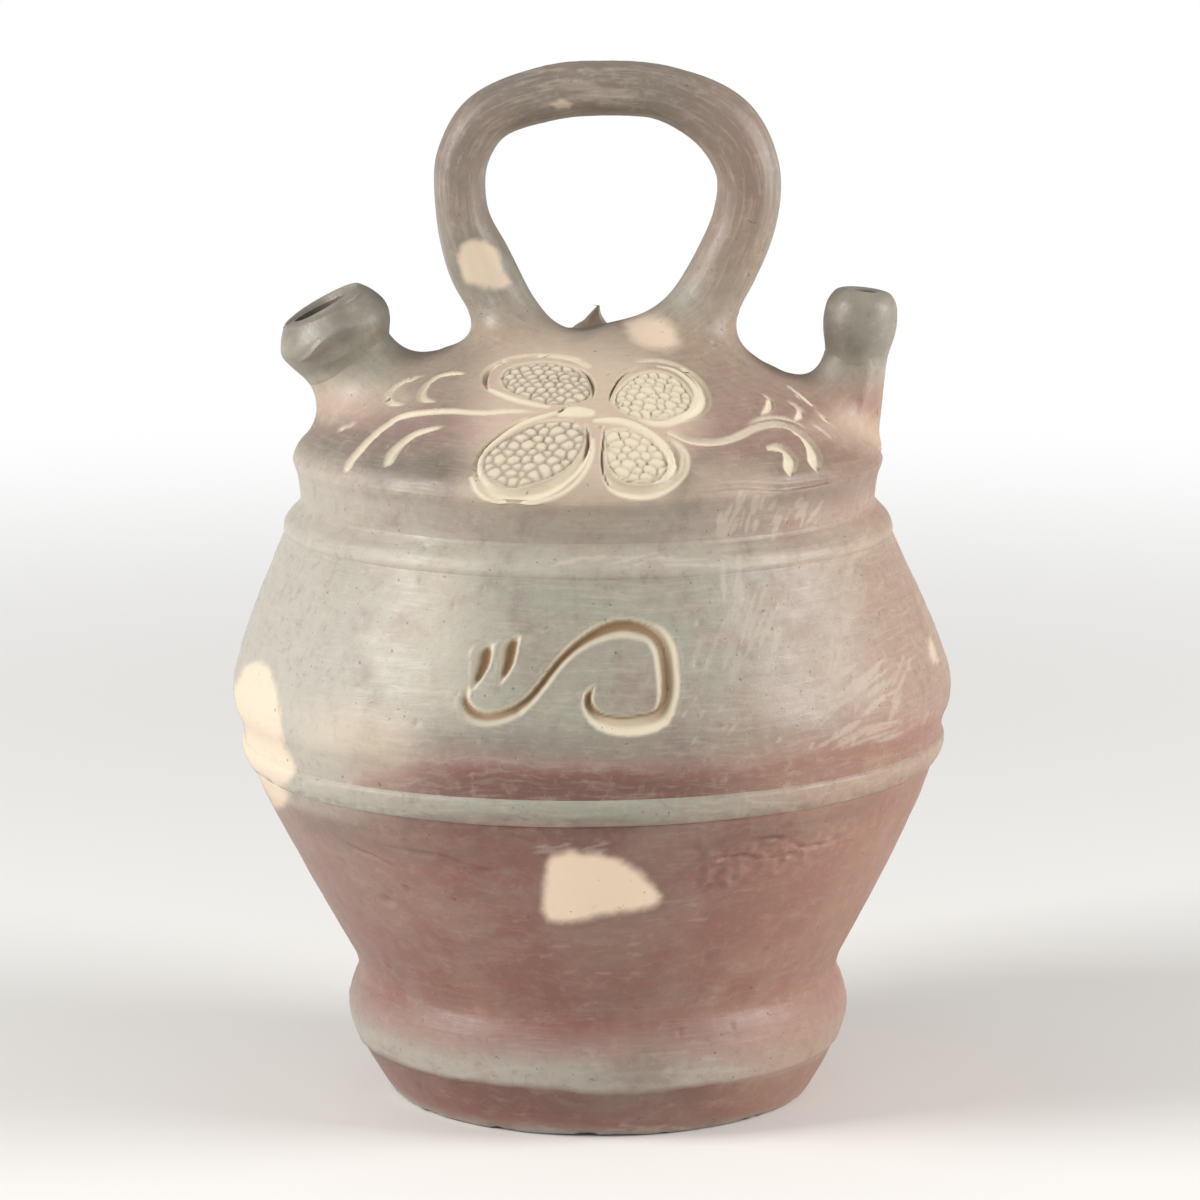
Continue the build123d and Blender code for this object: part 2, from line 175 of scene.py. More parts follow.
def curve_through(points, count=160):
    """Smooth curve through a few points, by Catmull and Rom's rule."""
    points = np.asarray(points, float)
    ends = (2 * points[0] - points[1], 2 * points[-1] - points[-2])
    points = np.concatenate([ends[:1], points, ends[1:]])
    places = np.linspace(0, len(points) - 3, count)
    first = np.minimum(places.astype(int), len(points) - 4)
    share = (places - first)[:, None]
    a, b, c, d = (points[first + step] for step in range(4))
    return 0.5 * (
        2 * b
        + (c - a) * share
        + (2 * a - 5 * b + 4 * c - d) * share**2
        + (3 * b - a - 3 * c + d) * share**3
    )


def rounded(corners, spacing):
    """Line through (radius, height, softness) corners in millimetres, each corner eased off."""
    corners = np.array(corners, float) * MM
    places, softness = corners[:, :2], corners[:, 2]
    path = [places[0]]
    for back, here, on, soft in zip(places, places[1:], places[2:], softness[1:]):
        in_length = np.linalg.norm(back - here)
        out_length = np.linalg.norm(on - here)
        reach = min(soft, in_length / 2, out_length / 2)
        start = here + (back - here) * reach / in_length
        end = here + (on - here) * reach / out_length
        for share in np.linspace(0, 1, 9):
            path.append((1 - share) ** 2 * start + 2 * share * (1 - share) * here + share**2 * end)
    path.append(places[-1])
    return even(path, spacing)


def dome_height(radius):
    """Height of the dome's outer face at a distance from its middle."""
    return dome_centre + np.sqrt(dome_sphere**2 - radius**2)


# Outer face of each thrown piece, from its foot up: radius, height and softness in millimetres
base_line = (
    (0, 0, 0), (57.2, 0, 0.5), (58.4, 0.9, 0.6), (59.4, 2.4, 1.0), (62.9, 8.2, 0.5), (66.3, 14.6, 0.3),
)
foot_line = (
    (66.3, 14.6, 0.3), (67.2, 15.2, 0.5), (69.2, 21, 5), (69.55, 25, 5), (68.5, 30, 4), (66.4, 34.9, 1.8),
    (67.5, 39.4, 3), (76.1, 55, 9), (83.7, 70, 9), (90.3, 84, 8), (92.9, 90, 2.5), (94.0, 93.6, 0.5),
)
cordon_line = (
    (93.9, 93.6, 0), (95.2, 94.3, 1.0), (96.6, 96.6, 1.4), (97.3, 99.0, 1.4),
    (97.3, 100.4, 0.7), (96.7, 101, 0.2),
)
belly_line = (
    (96.5, 101, 0), (96.6, 103.2, 1.8), (97.3, 106.6, 1.8), (98.9, 110.2, 2.4),
    (99.3, 113.6, 4), (98.8, 118.6, 7),
    (96.1, 127, 10), (91.5, 139, 10), (86.5, 150, 8), (83.8, 156.2, 1.2), (83.5, 157.5, 0.3),
)
bead_line = (
    (83.5, 157.5, 0), (83.9, 158.4, 0.8), (83.5, 160.2, 1.0), (82.6, 161.6, 1.2), (80.7, 163.6, 1.6),
    (79.3, 165.2, 1.2), (79.0, 166, 0.2),
)
band_line = (
    (79.0, 166, 0), (79.0, 167.4, 1.2), (79.3, 170.4, 2), (79.9, 174, 2), (80.7, 176, 1.0), (80.95, 177, 0),
)
brow_line = ((80.95, 177, 0), (81.2, 178.6, 1.2), (79.9, 180.7, 1.2), (78.4, 182.17, 0))
body_lines = (base_line, foot_line, cordon_line, belly_line, bead_line, band_line, brow_line)
body_line = np.concatenate([rounded(part, 0.5 * MM) for part in body_lines])


def body_radius(height):
    """Outer radius of the thrown body at a height below the brow."""
    return np.interp(height, body_line[:, 1], body_line[:, 0])


def sight(pixels):
    """Camera's place and the direction in which it sees each pixel of the photograph."""
    pixels = np.asarray(pixels, float)
    across = (pixels[:, 0] - frame_pixels / 2) / focal_pixels
    up = (frame_pixels / 2 - pixels[:, 1]) / focal_pixels
    cosine, sine = math.cos(camera_pitch), math.sin(camera_pitch)
    direction = np.stack([across, cosine + up * sine, up * cosine - sine], -1)
    return np.array((camera_aside, -camera_back, camera_height)), direction


def photo_pixels(places):
    """Where each place shows in the photograph."""
    offset = places - np.array((camera_aside, -camera_back, camera_height))
    cosine, sine = math.cos(camera_pitch), math.sin(camera_pitch)
    forward = offset[:, 1] * cosine - offset[:, 2] * sine
    up = offset[:, 1] * sine + offset[:, 2] * cosine
    right_pixels = focal_pixels * offset[:, 0] / forward
    up_pixels = focal_pixels * up / forward
    return np.stack([frame_pixels / 2 + right_pixels, frame_pixels / 2 - up_pixels], -1)


def first_meeting(pixels, distance):
    """Where the line of sight through each pixel first meets a surface."""
    start, direction = sight(pixels)
    near = np.full(len(direction), camera_back - 1.2 * belly_radius)
    steps = np.linspace(0, 2 * belly_radius, 220)
    outside = np.array([distance(start + direction * (near + step)[:, None]) for step in steps])
    hit = np.argmax(outside < 0, axis=0)
    low, high = near + steps[np.maximum(hit - 1, 0)], near + steps[hit]
    for _ in range(20):
        middle = (low + high) / 2
        inside = distance(start + direction * middle[:, None]) < 0
        low, high = np.where(inside, low, middle), np.where(inside, middle, high)
    return start + direction * high[:, None]


def dome_distance(places):
    """Distance off the dome's face, rounded over its brow."""
    aside = places[:, 0] - lean(crown_height)
    ball = np.sqrt(aside**2 + places[:, 1] ** 2 + (places[:, 2] - dome_centre) ** 2) - dome_sphere
    side = np.hypot(aside, places[:, 1]) - brow_radius + 0.1 * MM
    return -smooth_least(-ball, -side, 3 * MM)


def belly_distance(places):
    """Distance off the upper body's face, measured level."""
    return np.hypot(places[:, 0] - lean(places[:, 2]), places[:, 1]) - body_radius(places[:, 2])


def axis_out(leaning):
    """Direction of an axis that leans off upright towards the spout."""
    return np.array((math.sin(leaning), 0, math.cos(leaning)))


def rod_distance(places, tip, leaning, radius):
    """Distance off a round neck on a leaning axis."""
    out = axis_out(leaning)
    offset = places - tip
    along = offset @ out
    return np.linalg.norm(offset - along[:, None] * out, axis=1) - radius


def mouth_distance(places):
    return rod_distance(places, mouth_tip, mouth_lean, mouth_neck_radius)


def spout_distance(places):
    return rod_distance(places, spout_tip, spout_lean, spout_neck_radius)


def collar_distance(places):
    return rod_distance(places, mouth_tip, mouth_lean, 15.4 * MM)


loop_points = np.array([
    (loop_aside + aside * loop_half_width, crown_height + up * loop_rise, half)
    for aside, up, half in loop_shares
])
loop_curve = even(curve_through(loop_points, 900), 0.5 * MM)
loop_tangents = np.gradient(loop_curve[:, :2], axis=0)
loop_tangents /= np.linalg.norm(loop_tangents, axis=1)[:, None]
towards_roots = np.abs(np.linspace(-1, 1, len(loop_curve)))
loop_depths = grip_half_depth + (root_half_depth - grip_half_depth) * towards_roots**4
section_power = 2.35          # above 2, the bar is flatter on its front and back than an oval


def loop_nearest(places, stretch=slice(None)):
    """For each place: the nearest point of the loop's curve, and how far across it lies."""
    flat = places[:, (0, 2)]
    points = loop_curve[stretch, :2]
    found = np.zeros(len(flat), int)
    for first in range(0, len(flat), 3000):
        batch = flat[first:first + 3000]
        apart = (batch**2).sum(1)[:, None] - 2 * batch @ points.T + (points**2).sum(1)
        found[first:first + 3000] = np.argmin(apart, axis=1)
    found += stretch.start or 0
    side = flat - loop_curve[found, :2]
    tangent = loop_tangents[found]
    return found, side[:, 0] * tangent[:, 1] - side[:, 1] * tangent[:, 0]


def loop_distance(places, stretch=slice(None)):
    """Distance off the ring handle."""
    found, across = loop_nearest(places, stretch)
    half_thickness = loop_curve[found, 2]
    across_share = np.abs(across / half_thickness) ** section_power
    front_share = np.abs(places[:, 1] / loop_depths[found]) ** section_power
    return ((across_share + front_share) ** (1 / section_power) - 1) * half_thickness


leg_points = 110
mouth_leg = slice(0, leg_points)
spout_leg = slice(len(loop_curve) - leg_points, len(loop_curve))


def mouth_leg_distance(places):
    return loop_distance(places, mouth_leg)


def spout_leg_distance(places):
    return loop_distance(places, spout_leg)


class Joint:
    """Where a neck or a leg is luted on the dome: clay smoothed out from it, tangent to both."""

    def __init__(self, rod, foot, out, towards_spout, towards_mouth, to_front, size):
        self.rod = rod
        self.foot, self.out = np.array(foot, float), np.array(out, float)
        middle = np.array((lean(crown_height), 0, dome_centre))
        self.normal = (self.foot - middle) / np.linalg.norm(self.foot - middle)
        self.ahead = np.array((0.0, 1.0, 0.0))
        self.sideways = np.cross(self.ahead, self.normal)
        self.sideways /= np.linalg.norm(self.sideways)
        self.towards_spout, self.towards_mouth, self.to_front = towards_spout, towards_mouth, to_front
        self.size = size

    def reach(self, places):
        """How far the clay is smoothed out in the direction of each place."""
        offset = places - self.foot
        right, front = offset @ self.sideways, offset[:, 1]
        cosine = right / (np.hypot(right, front) + 1e-9)
        side = self.to_front + (self.towards_mouth - self.to_front) * smooth_step(0.3, -0.9, cosine)
        return side + (self.towards_spout - self.to_front) * smooth_step(-0.3, 0.9, cosine)

    def rims(self, edge, direction):
        """Where the smoothed clay runs out on the dome and on the neck or leg, in each direction."""
        low = edge + direction * self.reach(edge)[:, None]
        high = edge + self.out * self.reach(edge)[:, None]
        for _ in range(12):
            low = low + direction * (self.reach(low) - self.rod(low))[:, None]
            low = low - self.normal * dome_distance(low)[:, None]
            low[:, 2] = np.maximum(low[:, 2], brow_bottom - 1.5 * MM)
            high = high + self.out * (self.reach(high) - dome_distance(high))[:, None]
        return low, high

    def cover(self, places):
        """How deep a dome, neck or leg lies under this joint's clay: 1 at the neck, 0 at its edge."""
        off = np.maximum(dome_distance(places), self.rod(places))
        return np.where(off > 0.4 * MM, np.clip(1 - off / self.reach(places), 0, 1), -1)


leg_size = (9.5 * MM, 11.6 * MM)
leg_foot = 18                 # steps of the loop's curve from its end to where the leg leaves the dome


def leg_out(index):
    """Direction in which a leg of the handle leaves the dome."""
    along = loop_tangents[index] * np.sign(loop_tangents[index][1])
    return along[0], 0, along[1]


def on_dome(aside):
    return aside, 0, float(dome_height(abs(aside)))


joints = {
    "handle_root_mouth_side": Joint(
        mouth_leg_distance, on_dome(loop_curve[leg_foot][0]), leg_out(leg_foot),
        11 * MM, 11 * MM, 15 * MM, leg_size,
    ),
    "handle_root_spout_side": Joint(
        spout_leg_distance, on_dome(loop_curve[-leg_foot - 1][0]), leg_out(-leg_foot - 1),
        17 * MM, 16 * MM, 15 * MM, leg_size,
    ),
    "mouth_coil": Joint(
        mouth_distance, mouth_tip - axis_out(mouth_lean) * mouth_foot_drop, axis_out(mouth_lean),
        14.5 * MM, 9 * MM, 14 * MM, (mouth_neck_radius, mouth_neck_radius),
    ),
    "spout_coil": Joint(
        spout_distance, spout_tip - axis_out(spout_lean) * spout_foot_drop, axis_out(spout_lean),
        4 * MM, 15 * MM, 13 * MM, (spout_neck_radius, spout_neck_radius),
    ),
}


def smoothed_surface(places):
    """Distance off the dome with all its necks and legs smoothed in."""
    value = dome_distance(places)
    for joint in joints.values():
        value = smooth_least(value, joint.rod(places), joint.reach(places))
    return value


def surface_slope(places, value):
    """Steepest way off the smoothed surface."""
    step = 0.02 * MM
    return np.stack([(smoothed_surface(places + step * axis) - value) / step for axis in np.eye(3)], -1)


def settle(places, rounds):
    """Moves places onto the smoothed surface, and returns its outward directions there."""
    for _ in range(rounds):
        value = smoothed_surface(places)
        slope = surface_slope(places, value)
        places = places - slope * (value / np.maximum((slope**2).sum(1), 0.2))[:, None]
    slope = surface_slope(places, smoothed_surface(places))
    return places, slope / np.linalg.norm(slope, axis=1)[:, None]


def draw_in(places, names):
    """Draws a dome, neck or leg up to the smoothed surface, and under it where clay covers it."""
    near = np.flatnonzero((places[:, 2] > brow_bottom - 3 * MM) & (places[:, 2] < 245 * MM))
    near = near[dome_distance(places[near]) > -1.0 * MM]
    edge = near[(np.abs(dome_distance(places[near])) < 1.2 * MM) & (places[near, 2] < 184 * MM)]
    covers = np.array([joints[name].cover(places[near]) for name in names])
    touched = (covers.max(0) > 0) & (covers.min(0) >= 0)
    near, cover = near[touched], covers.max(0)[touched]
    settled, outward = settle(places[near], 5)
    under = 0.01 * MM + 0.9 * MM * smooth_step(0.26, 0.5, cover)
    moved = places.copy()
    moved[edge] = settle(places[edge], 5)[0]
    moved[near] = settled - outward * under[:, None]
    return moved


def luted(places):
    """How far each place lies from everything luted on the dome."""
    distance = np.full(len(places), 1.0)
    near = np.flatnonzero(places[:, 2] > brow_bottom)
    here = places[near]
    parts = [joint.rod(here) for joint in joints.values()]
    distance[near] = np.min(parts, axis=0)
    return distance


# Carving, as routes of the deepest or highest line in the photograph's pixels. Each place has
# the reach to the left and to the right of the way the tool went, and the depth, in millimetres
scroll = (
    (467, 690, 0.9, 0.9, 0.5), (466, 700, 0.9, 2.0, 1.2), (471, 708, 1.0, 3.0, 1.3),
    (481, 713, 1.0, 3.4, 1.2), (496, 713, 1.0, 3.2, 1.2), (513, 707, 0.9, 3.0, 1.3),
    (528, 696, 0.8, 2.6, 1.5), (541, 681, 0.8, 2.4, 1.6), (554, 664, 0.8, 2.4, 1.6),
    (567, 650, 0.9, 2.6, 1.6), (583, 637, 1.0, 3.2, 1.6), (602, 626, 1.1, 4.2, 1.5),
    (622, 621, 1.1, 4.6, 1.5), (641, 624, 1.1, 4.6, 1.3), (656, 633, 2.4, 3.8, 1.3),
    (665, 648, 2.8, 3.6, 1.6), (668, 667, 2.9, 3.4, 1.9), (669, 686, 2.9, 3.2, 1.9),
    (666, 701, 3.0, 2.6, 1.6), (657, 712, 4.4, 1.2, 1.3), (641, 716, 5.0, 0.9, 1.2),
    (622, 718, 4.8, 0.9, 1.2), (604, 716, 4.0, 1.0, 1.2), (592, 709, 2.6, 1.4, 1.5),
    (587, 700, 1.4, 1.7, 1.9), (589, 693, 1.2, 1.5, 1.3), (594, 686, 0.5, 0.5, 0.3),
)
belly_commas = (
    ((491, 646, 0.8, 1.2, 0.5), (488, 654, 1.2, 3.6, 1.9), (486, 664, 1.2, 3.6, 2.0),
     (480, 676, 1.0, 2.4, 1.6), (473, 688, 0.5, 0.6, 0.4)),
    ((518, 638, 0.8, 1.2, 0.5), (514, 647, 1.2, 3.6, 1.9), (511, 661, 1.2, 3.4, 2.0),
     (505, 674, 1.0, 2.0, 1.3), (500, 683, 0.5, 0.6, 0.3)),
)
stems = (
    ((546, 413, 0.5, 0.5, 0.1), (513, 411, 0.8, 0.8, 0.5), (480, 413, 1.0, 1.0, 0.7),
     (445, 412, 1.1, 1.2, 0.8), (405, 417, 1.2, 1.5, 0.9), (388, 426, 1.3, 1.7, 1.0),
     (374, 437, 1.4, 1.8, 1.0), (361, 450, 1.6, 1.9, 1.0), (352, 461, 1.7, 1.9, 1.0),
     (349, 467, 1.5, 1.5, 0.5)),
    ((444, 427, 0.4, 0.4, 0.2), (427, 431, 0.9, 1.0, 0.7), (413, 436, 1.2, 1.3, 0.9),
     (401, 445, 1.5, 1.6, 1.0), (393, 454, 1.8, 1.9, 1.0), (389, 462, 1.5, 1.6, 0.6)),
    ((464, 374, 0.4, 0.5, 0.3), (451, 374, 1.0, 1.0, 0.8), (438, 377, 1.2, 1.2, 1.0),
     (428, 384, 1.3, 1.3, 1.0), (422, 393, 1.3, 1.3, 1.0), (424, 400, 1.0, 1.0, 0.8),
     (436, 402, 0.4, 0.4, 0.2)),
    ((424, 376, 0.4, 0.5, 0.2), (410, 380, 0.9, 1.2, 0.8), (397, 387, 1.0, 1.3, 1.0),
     (388, 396, 1.2, 1.3, 1.1), (391, 404, 1.0, 1.0, 0.8), (405, 405, 0.4, 0.4, 0.2)),
    ((356, 418, 0.6, 0.6, 0.3), (348, 426, 1.2, 1.4, 0.8), (337, 432, 0.5, 0.5, 0.2)),
    ((666, 432, 0.6, 0.5, 0.2), (676, 434, 0.9, 1.3, 0.9), (688, 439, 1.0, 1.6, 1.0),
     (704, 442, 1.0, 1.5, 0.9), (722, 441, 0.9, 1.3, 0.8), (738, 436, 0.9, 1.3, 0.8),
     (754, 428, 0.9, 1.4, 0.9), (770, 424, 0.9, 1.5, 1.0), (785, 425, 0.9, 1.7, 1.1),
     (798, 431, 1.0, 2.4, 1.1), (809, 441, 1.2, 3.1, 1.1), (817, 453, 1.4, 3.6, 1.1),
     (818, 464, 1.2, 3.4, 0.8)),
    ((743, 427, 0.3, 0.3, 0.1), (756, 420, 0.5, 0.7, 0.4), (771, 417, 0.5, 0.8, 0.5),
     (787, 419, 0.5, 0.8, 0.5), (800, 424, 0.5, 0.7, 0.4), (809, 432, 0.3, 0.3, 0.1)),
    ((768, 448, 0.6, 0.9, 0.5), (779, 446, 0.8, 2.6, 1.1), (789, 451, 0.9, 3.4, 1.3),
     (795, 460, 1.0, 3.7, 1.1), (793, 470, 0.8, 3.0, 0.6)),
    ((764, 395, 0.4, 0.5, 0.4), (772, 400, 0.6, 1.8, 0.9), (772, 409, 0.6, 2.0, 0.9),
     (763, 415, 0.4, 0.8, 0.3)),
    ((790, 402, 0.4, 0.5, 0.4), (799, 407, 0.7, 2.0, 1.0), (804, 415, 0.7, 2.2, 1.0),
     (796, 421, 0.4, 0.8, 0.3)),
    ((790, 387, 0.8, 0.9, 0.5), (805, 400, 0.8, 1.1, 0.8), (820, 413, 0.7, 0.9, 0.7),
     (832, 425, 0.5, 0.6, 0.5), (843, 435, 0.3, 0.3, 0.2)),
    ((814, 425, 0.5, 0.6, 0.3), (823, 431, 0.8, 1.0, 0.7), (833, 440, 0.4, 0.4, 0.2)),
)
# Broad smooth channels round the petals
channels = (
    ((483, 384, 0.6, 0.6, 0.2), (487, 372, 1.4, 1.2, 0.6), (499, 363, 1.3, 1.5, 0.6),
     (520, 357, 1.2, 1.6, 0.6), (547, 355, 1.2, 1.6, 0.6), (572, 358, 1.2, 1.5, 0.5),
     (588, 366, 1.0, 1.2, 0.4)),
    ((479, 472, 1.0, 1.0, 0.5), (483, 484, 1.5, 1.4, 0.8), (494, 492, 1.7, 1.7, 0.9),
     (511, 496, 1.8, 1.8, 0.9), (530, 495, 1.8, 1.8, 0.9), (549, 489, 1.8, 1.8, 0.9),
     (565, 479, 1.7, 1.7, 0.9), (578, 466, 1.5, 1.5, 0.8), (586, 451, 1.2, 1.2, 0.5),
     (589, 440, 0.6, 0.6, 0.2)),
    ((606, 480, 0.8, 0.8, 0.5), (614, 488, 1.4, 1.4, 0.9), (628, 493, 1.6, 1.5, 0.9),
     (645, 494, 1.6, 1.5, 0.9), (661, 490, 1.5, 1.5, 0.8), (675, 481, 1.5, 1.4, 0.8),
     (684, 469, 1.4, 1.3, 0.7), (685, 456, 1.2, 1.2, 0.6), (679, 446, 1.0, 1.0, 0.5),
     (668, 438, 0.6, 0.6, 0.2)),
    ((634, 362, 0.6, 0.6, 0.2), (648, 361, 1.0, 1.0, 0.5), (663, 362, 1.2, 1.2, 0.6),
     (679, 367, 1.3, 1.3, 0.7), (693, 376, 1.4, 1.4, 0.8), (703, 388, 1.4, 1.4, 0.8),
     (706, 401, 1.4, 1.4, 0.8), (700, 412, 1.3, 1.3, 0.7), (686, 419, 1.2, 1.2, 0.6),
     (668, 423, 0.8, 0.8, 0.3)),
)
# Narrow deep cuts, brown where they reach the clay under the smoked skin
cuts = (
    ((493, 366, 0.6, 0.6, 0.4), (488, 371, 1.1, 1.1, 1.1), (485, 379, 0.9, 1.0, 1.3),
     (487, 387, 0.5, 0.6, 0.9), (491, 392, 0.3, 0.3, 0.2)),
    ((579, 368, 0.4, 0.4, 0.3), (587, 374, 0.7, 0.6, 1.1), (592, 383, 0.9, 0.6, 1.3),
     (593, 392, 0.7, 0.5, 1.0), (591, 399, 0.3, 0.3, 0.2)),
    ((530, 417, 0.3, 0.3, 0.2), (516, 423, 0.5, 0.6, 0.9), (503, 432, 0.6, 0.8, 1.2),
     (491, 442, 0.7, 0.9, 1.4), (483, 451, 0.7, 0.9, 1.4), (477, 462, 0.6, 0.8, 1.4),
     (476, 472, 0.5, 0.5, 1.0), (479, 482, 0.3, 0.3, 0.3)),
    ((586, 425, 0.4, 0.4, 0.4), (588, 434, 0.6, 0.8, 1.3), (588, 443, 0.7, 1.0, 1.5),
     (586, 452, 0.6, 0.8, 1.1), (583, 462, 0.3, 0.3, 0.2)),
    ((605, 427, 0.3, 0.3, 0.4), (603, 440, 0.5, 0.5, 1.2), (602, 453, 0.5, 0.5, 1.3),
     (602, 466, 0.5, 0.5, 1.2), (605, 477, 0.4, 0.4, 0.9), (609, 486, 0.3, 0.3, 0.3)),
    ((609, 401, 0.3, 0.3, 0.4), (611, 393, 0.5, 0.5, 1.1), (615, 385, 0.5, 0.5, 1.2),
     (621, 377, 0.5, 0.5, 1.1), (629, 371, 0.4, 0.4, 0.7), (638, 367, 0.3, 0.3, 0.2)),
    ((614, 475, 0.4, 0.4, 0.4), (624, 480, 0.6, 0.7, 1.0), (638, 482, 0.6, 0.8, 1.1),
     (652, 481, 0.6, 0.7, 1.0), (663, 476, 0.5, 0.6, 0.9), (667, 470, 0.4, 0.4, 0.4)),
    ((671, 451, 0.3, 0.3, 0.4), (676, 459, 0.4, 0.4, 0.8), (677, 468, 0.4, 0.4, 0.9),
     (672, 476, 0.4, 0.4, 0.8), (661, 483, 0.3, 0.3, 0.3)),
    ((631, 417, 0.3, 0.3, 0.3), (639, 420, 0.4, 0.4, 0.7), (650, 422, 0.3, 0.3, 0.3)),
    ((559, 413, 0.4, 0.4, 0.5), (562, 410, 0.7, 0.8, 1.6), (566, 407, 0.4, 0.4, 0.5)),
)
# Raised lips that the tool pushed up, where the depth is a height
lips = (
    ((488, 389, 0.5, 0.5, 0.3), (503, 395, 0.8, 0.8, 0.5), (520, 401, 0.8, 0.8, 0.5),
     (537, 405, 0.7, 0.7, 0.4), (548, 407, 0.4, 0.4, 0.2)),
    ((480, 474, 0.6, 0.6, 0.4), (479, 464, 0.8, 0.7, 0.6), (483, 455, 0.8, 0.8, 0.7),
     (491, 447, 0.8, 0.8, 0.7), (504, 436, 0.8, 0.8, 0.6), (519, 426, 0.8, 0.8, 0.6),
     (536, 419, 0.8, 0.8, 0.6), (556, 413, 0.6, 0.6, 0.4)),
    ((596, 421, 0.7, 0.7, 0.3), (611, 421, 1.2, 1.2, 0.6), (625, 423, 1.3, 1.3, 0.7),
     (640, 429, 1.3, 1.3, 0.8), (653, 437, 1.3, 1.3, 0.8), (664, 447, 1.2, 1.2, 0.8),
     (671, 459, 1.1, 1.1, 0.8), (671, 469, 1.0, 1.0, 0.7), (664, 478, 0.8, 0.8, 0.6),
     (655, 483, 0.5, 0.5, 0.3)),
    ((640, 420, 0.5, 0.5, 0.2), (653, 424, 1.0, 1.0, 0.6), (665, 424, 1.1, 1.1, 0.7),
     (678, 420, 1.2, 1.2, 0.7), (689, 413, 1.2, 1.2, 0.7), (696, 404, 1.1, 1.1, 0.7),
     (697, 394, 1.0, 1.0, 0.7), (692, 385, 0.9, 0.9, 0.6), (682, 376, 0.8, 0.8, 0.5),
     (671, 370, 0.7, 0.7, 0.4), (658, 367, 0.4, 0.4, 0.2)),
    ((562, 414, 1.2, 1.2, 0.3), (570, 413, 2.2, 1.9, 1.0), (580, 413, 2.3, 2.0, 1.2),
     (589, 413, 1.5, 1.5, 0.5)),
    ((471, 478, 0.4, 0.4, 0.1), (480, 494, 0.5, 0.5, 0.3), (497, 502, 0.5, 0.5, 0.4),
     (524, 504, 0.5, 0.5, 0.4), (551, 499, 0.5, 0.5, 0.4), (571, 488, 0.5, 0.5, 0.4),
     (585, 472, 0.5, 0.5, 0.4), (592, 455, 0.5, 0.5, 0.3), (593, 440, 0.3, 0.3, 0.1)),
)
# Thumb marks on the filling mouth's collar
collar_hollows = (
    ((316, 362, 1.5, 1.5, 0.2), (325, 353, 3.0, 3.0, 0.7), (338, 344, 3.6, 3.6, 0.8),
     (353, 336, 3.2, 3.2, 0.6), (368, 329, 2.0, 2.0, 0.2)),
)
collar_ridges = (
    ((300, 360, 0.5, 0.5, 0.1), (306, 357, 0.9, 0.7, 0.5), (312, 352, 1.2, 0.8, 0.7),
     (318, 345, 1.3, 0.8, 0.7), (323, 339, 1.1, 0.7, 0.5), (328, 333, 0.5, 0.5, 0.1)),
)
# Upright facet on the spout's neck, and shallow marks of fingers and tools on the dome
neck_facets = (
    ((869, 356, 0.8, 0.8, 0.2), (867, 372, 1.8, 1.8, 0.5), (864, 395, 1.8, 1.8, 0.5),
     (861, 418, 1.5, 1.5, 0.4), (858, 436, 0.8, 0.8, 0.1)),
)
finger_marks = (
    ((636, 500, 0.6, 0.6, 0.1), (693, 492, 1.3, 0.8, 0.5), (739, 487, 1.5, 0.8, 0.6),
     (784, 489, 1.3, 0.8, 0.5), (817, 485, 1.4, 0.8, 0.6), (860, 478, 0.8, 0.6, 0.2)),
    ((714, 342, 0.5, 0.5, 0.3), (714, 344, 0.8, 0.8, 0.9), (715, 346, 0.5, 0.5, 0.3)),
    ((470, 292, 0.5, 0.5, 0.1), (473, 300, 0.9, 0.9, 0.6), (470, 309, 0.6, 0.6, 0.3)),
    ((300, 470, 0.8, 0.8, 0.1), (318, 478, 1.6, 1.2, 0.4), (345, 484, 1.2, 0.8, 0.2)),
)
# Folds and cracks in the skin of the lower body, and its pit
body_cracks = (
    ((336, 835, 0.8, 0.8, 0.1), (352, 848, 1.6, 1.1, 0.6), (373, 857, 1.6, 1.1, 0.7),
     (389, 865, 1.4, 1.0, 0.5), (411, 869, 0.8, 0.8, 0.1)),
    ((384, 845, 0.8, 0.8, 0.1), (413, 853, 1.6, 1.1, 0.5), (443, 858, 1.6, 1.1, 0.6),
     (467, 867, 1.5, 1.1, 0.7), (483, 872, 1.8, 1.4, 0.8), (497, 871, 0.9, 0.9, 0.2)),
    ((404, 886, 0.8, 0.8, 0.4), (407, 889, 0.9, 0.9, 0.9), (410, 892, 0.8, 0.8, 0.4)),
    ((749, 843, 0.8, 0.8, 0.2), (773, 839, 1.1, 1.1, 0.8), (790, 841, 1.0, 1.0, 0.6),
     (803, 848, 1.3, 1.2, 1.0), (824, 844, 1.0, 1.0, 0.7), (845, 836, 0.8, 0.8, 0.2)),
    ((701, 859, 0.8, 0.8, 0.2), (728, 859, 1.0, 1.0, 0.7), (748, 857, 1.3, 1.2, 1.0),
     (765, 860, 1.0, 1.0, 0.5), (792, 855, 1.0, 1.0, 0.7), (803, 849, 0.8, 0.8, 0.3)),
    ((696, 892, 0.8, 0.8, 0.3), (709, 887, 1.2, 1.2, 1.0), (720, 883, 0.9, 0.9, 0.4)),
    ((382, 899, 1.8, 1.8, 0.3), (387, 901, 2.6, 2.6, 1.0), (392, 902, 1.8, 1.8, 0.3)),
    ((480, 1110, 0.8, 0.8, 0.1), (540, 1113, 1.0, 1.0, 0.3), (640, 1113, 1.0, 1.0, 0.3),
     (711, 1108, 0.8, 0.8, 0.1)),
)
# Where the skin of the lower body is torn into scales
torn_skin = (
    (688, 850), (730, 835), (800, 826), (850, 828), (852, 842), (810, 866), (760, 890), (700, 900),
    (684, 880),
)
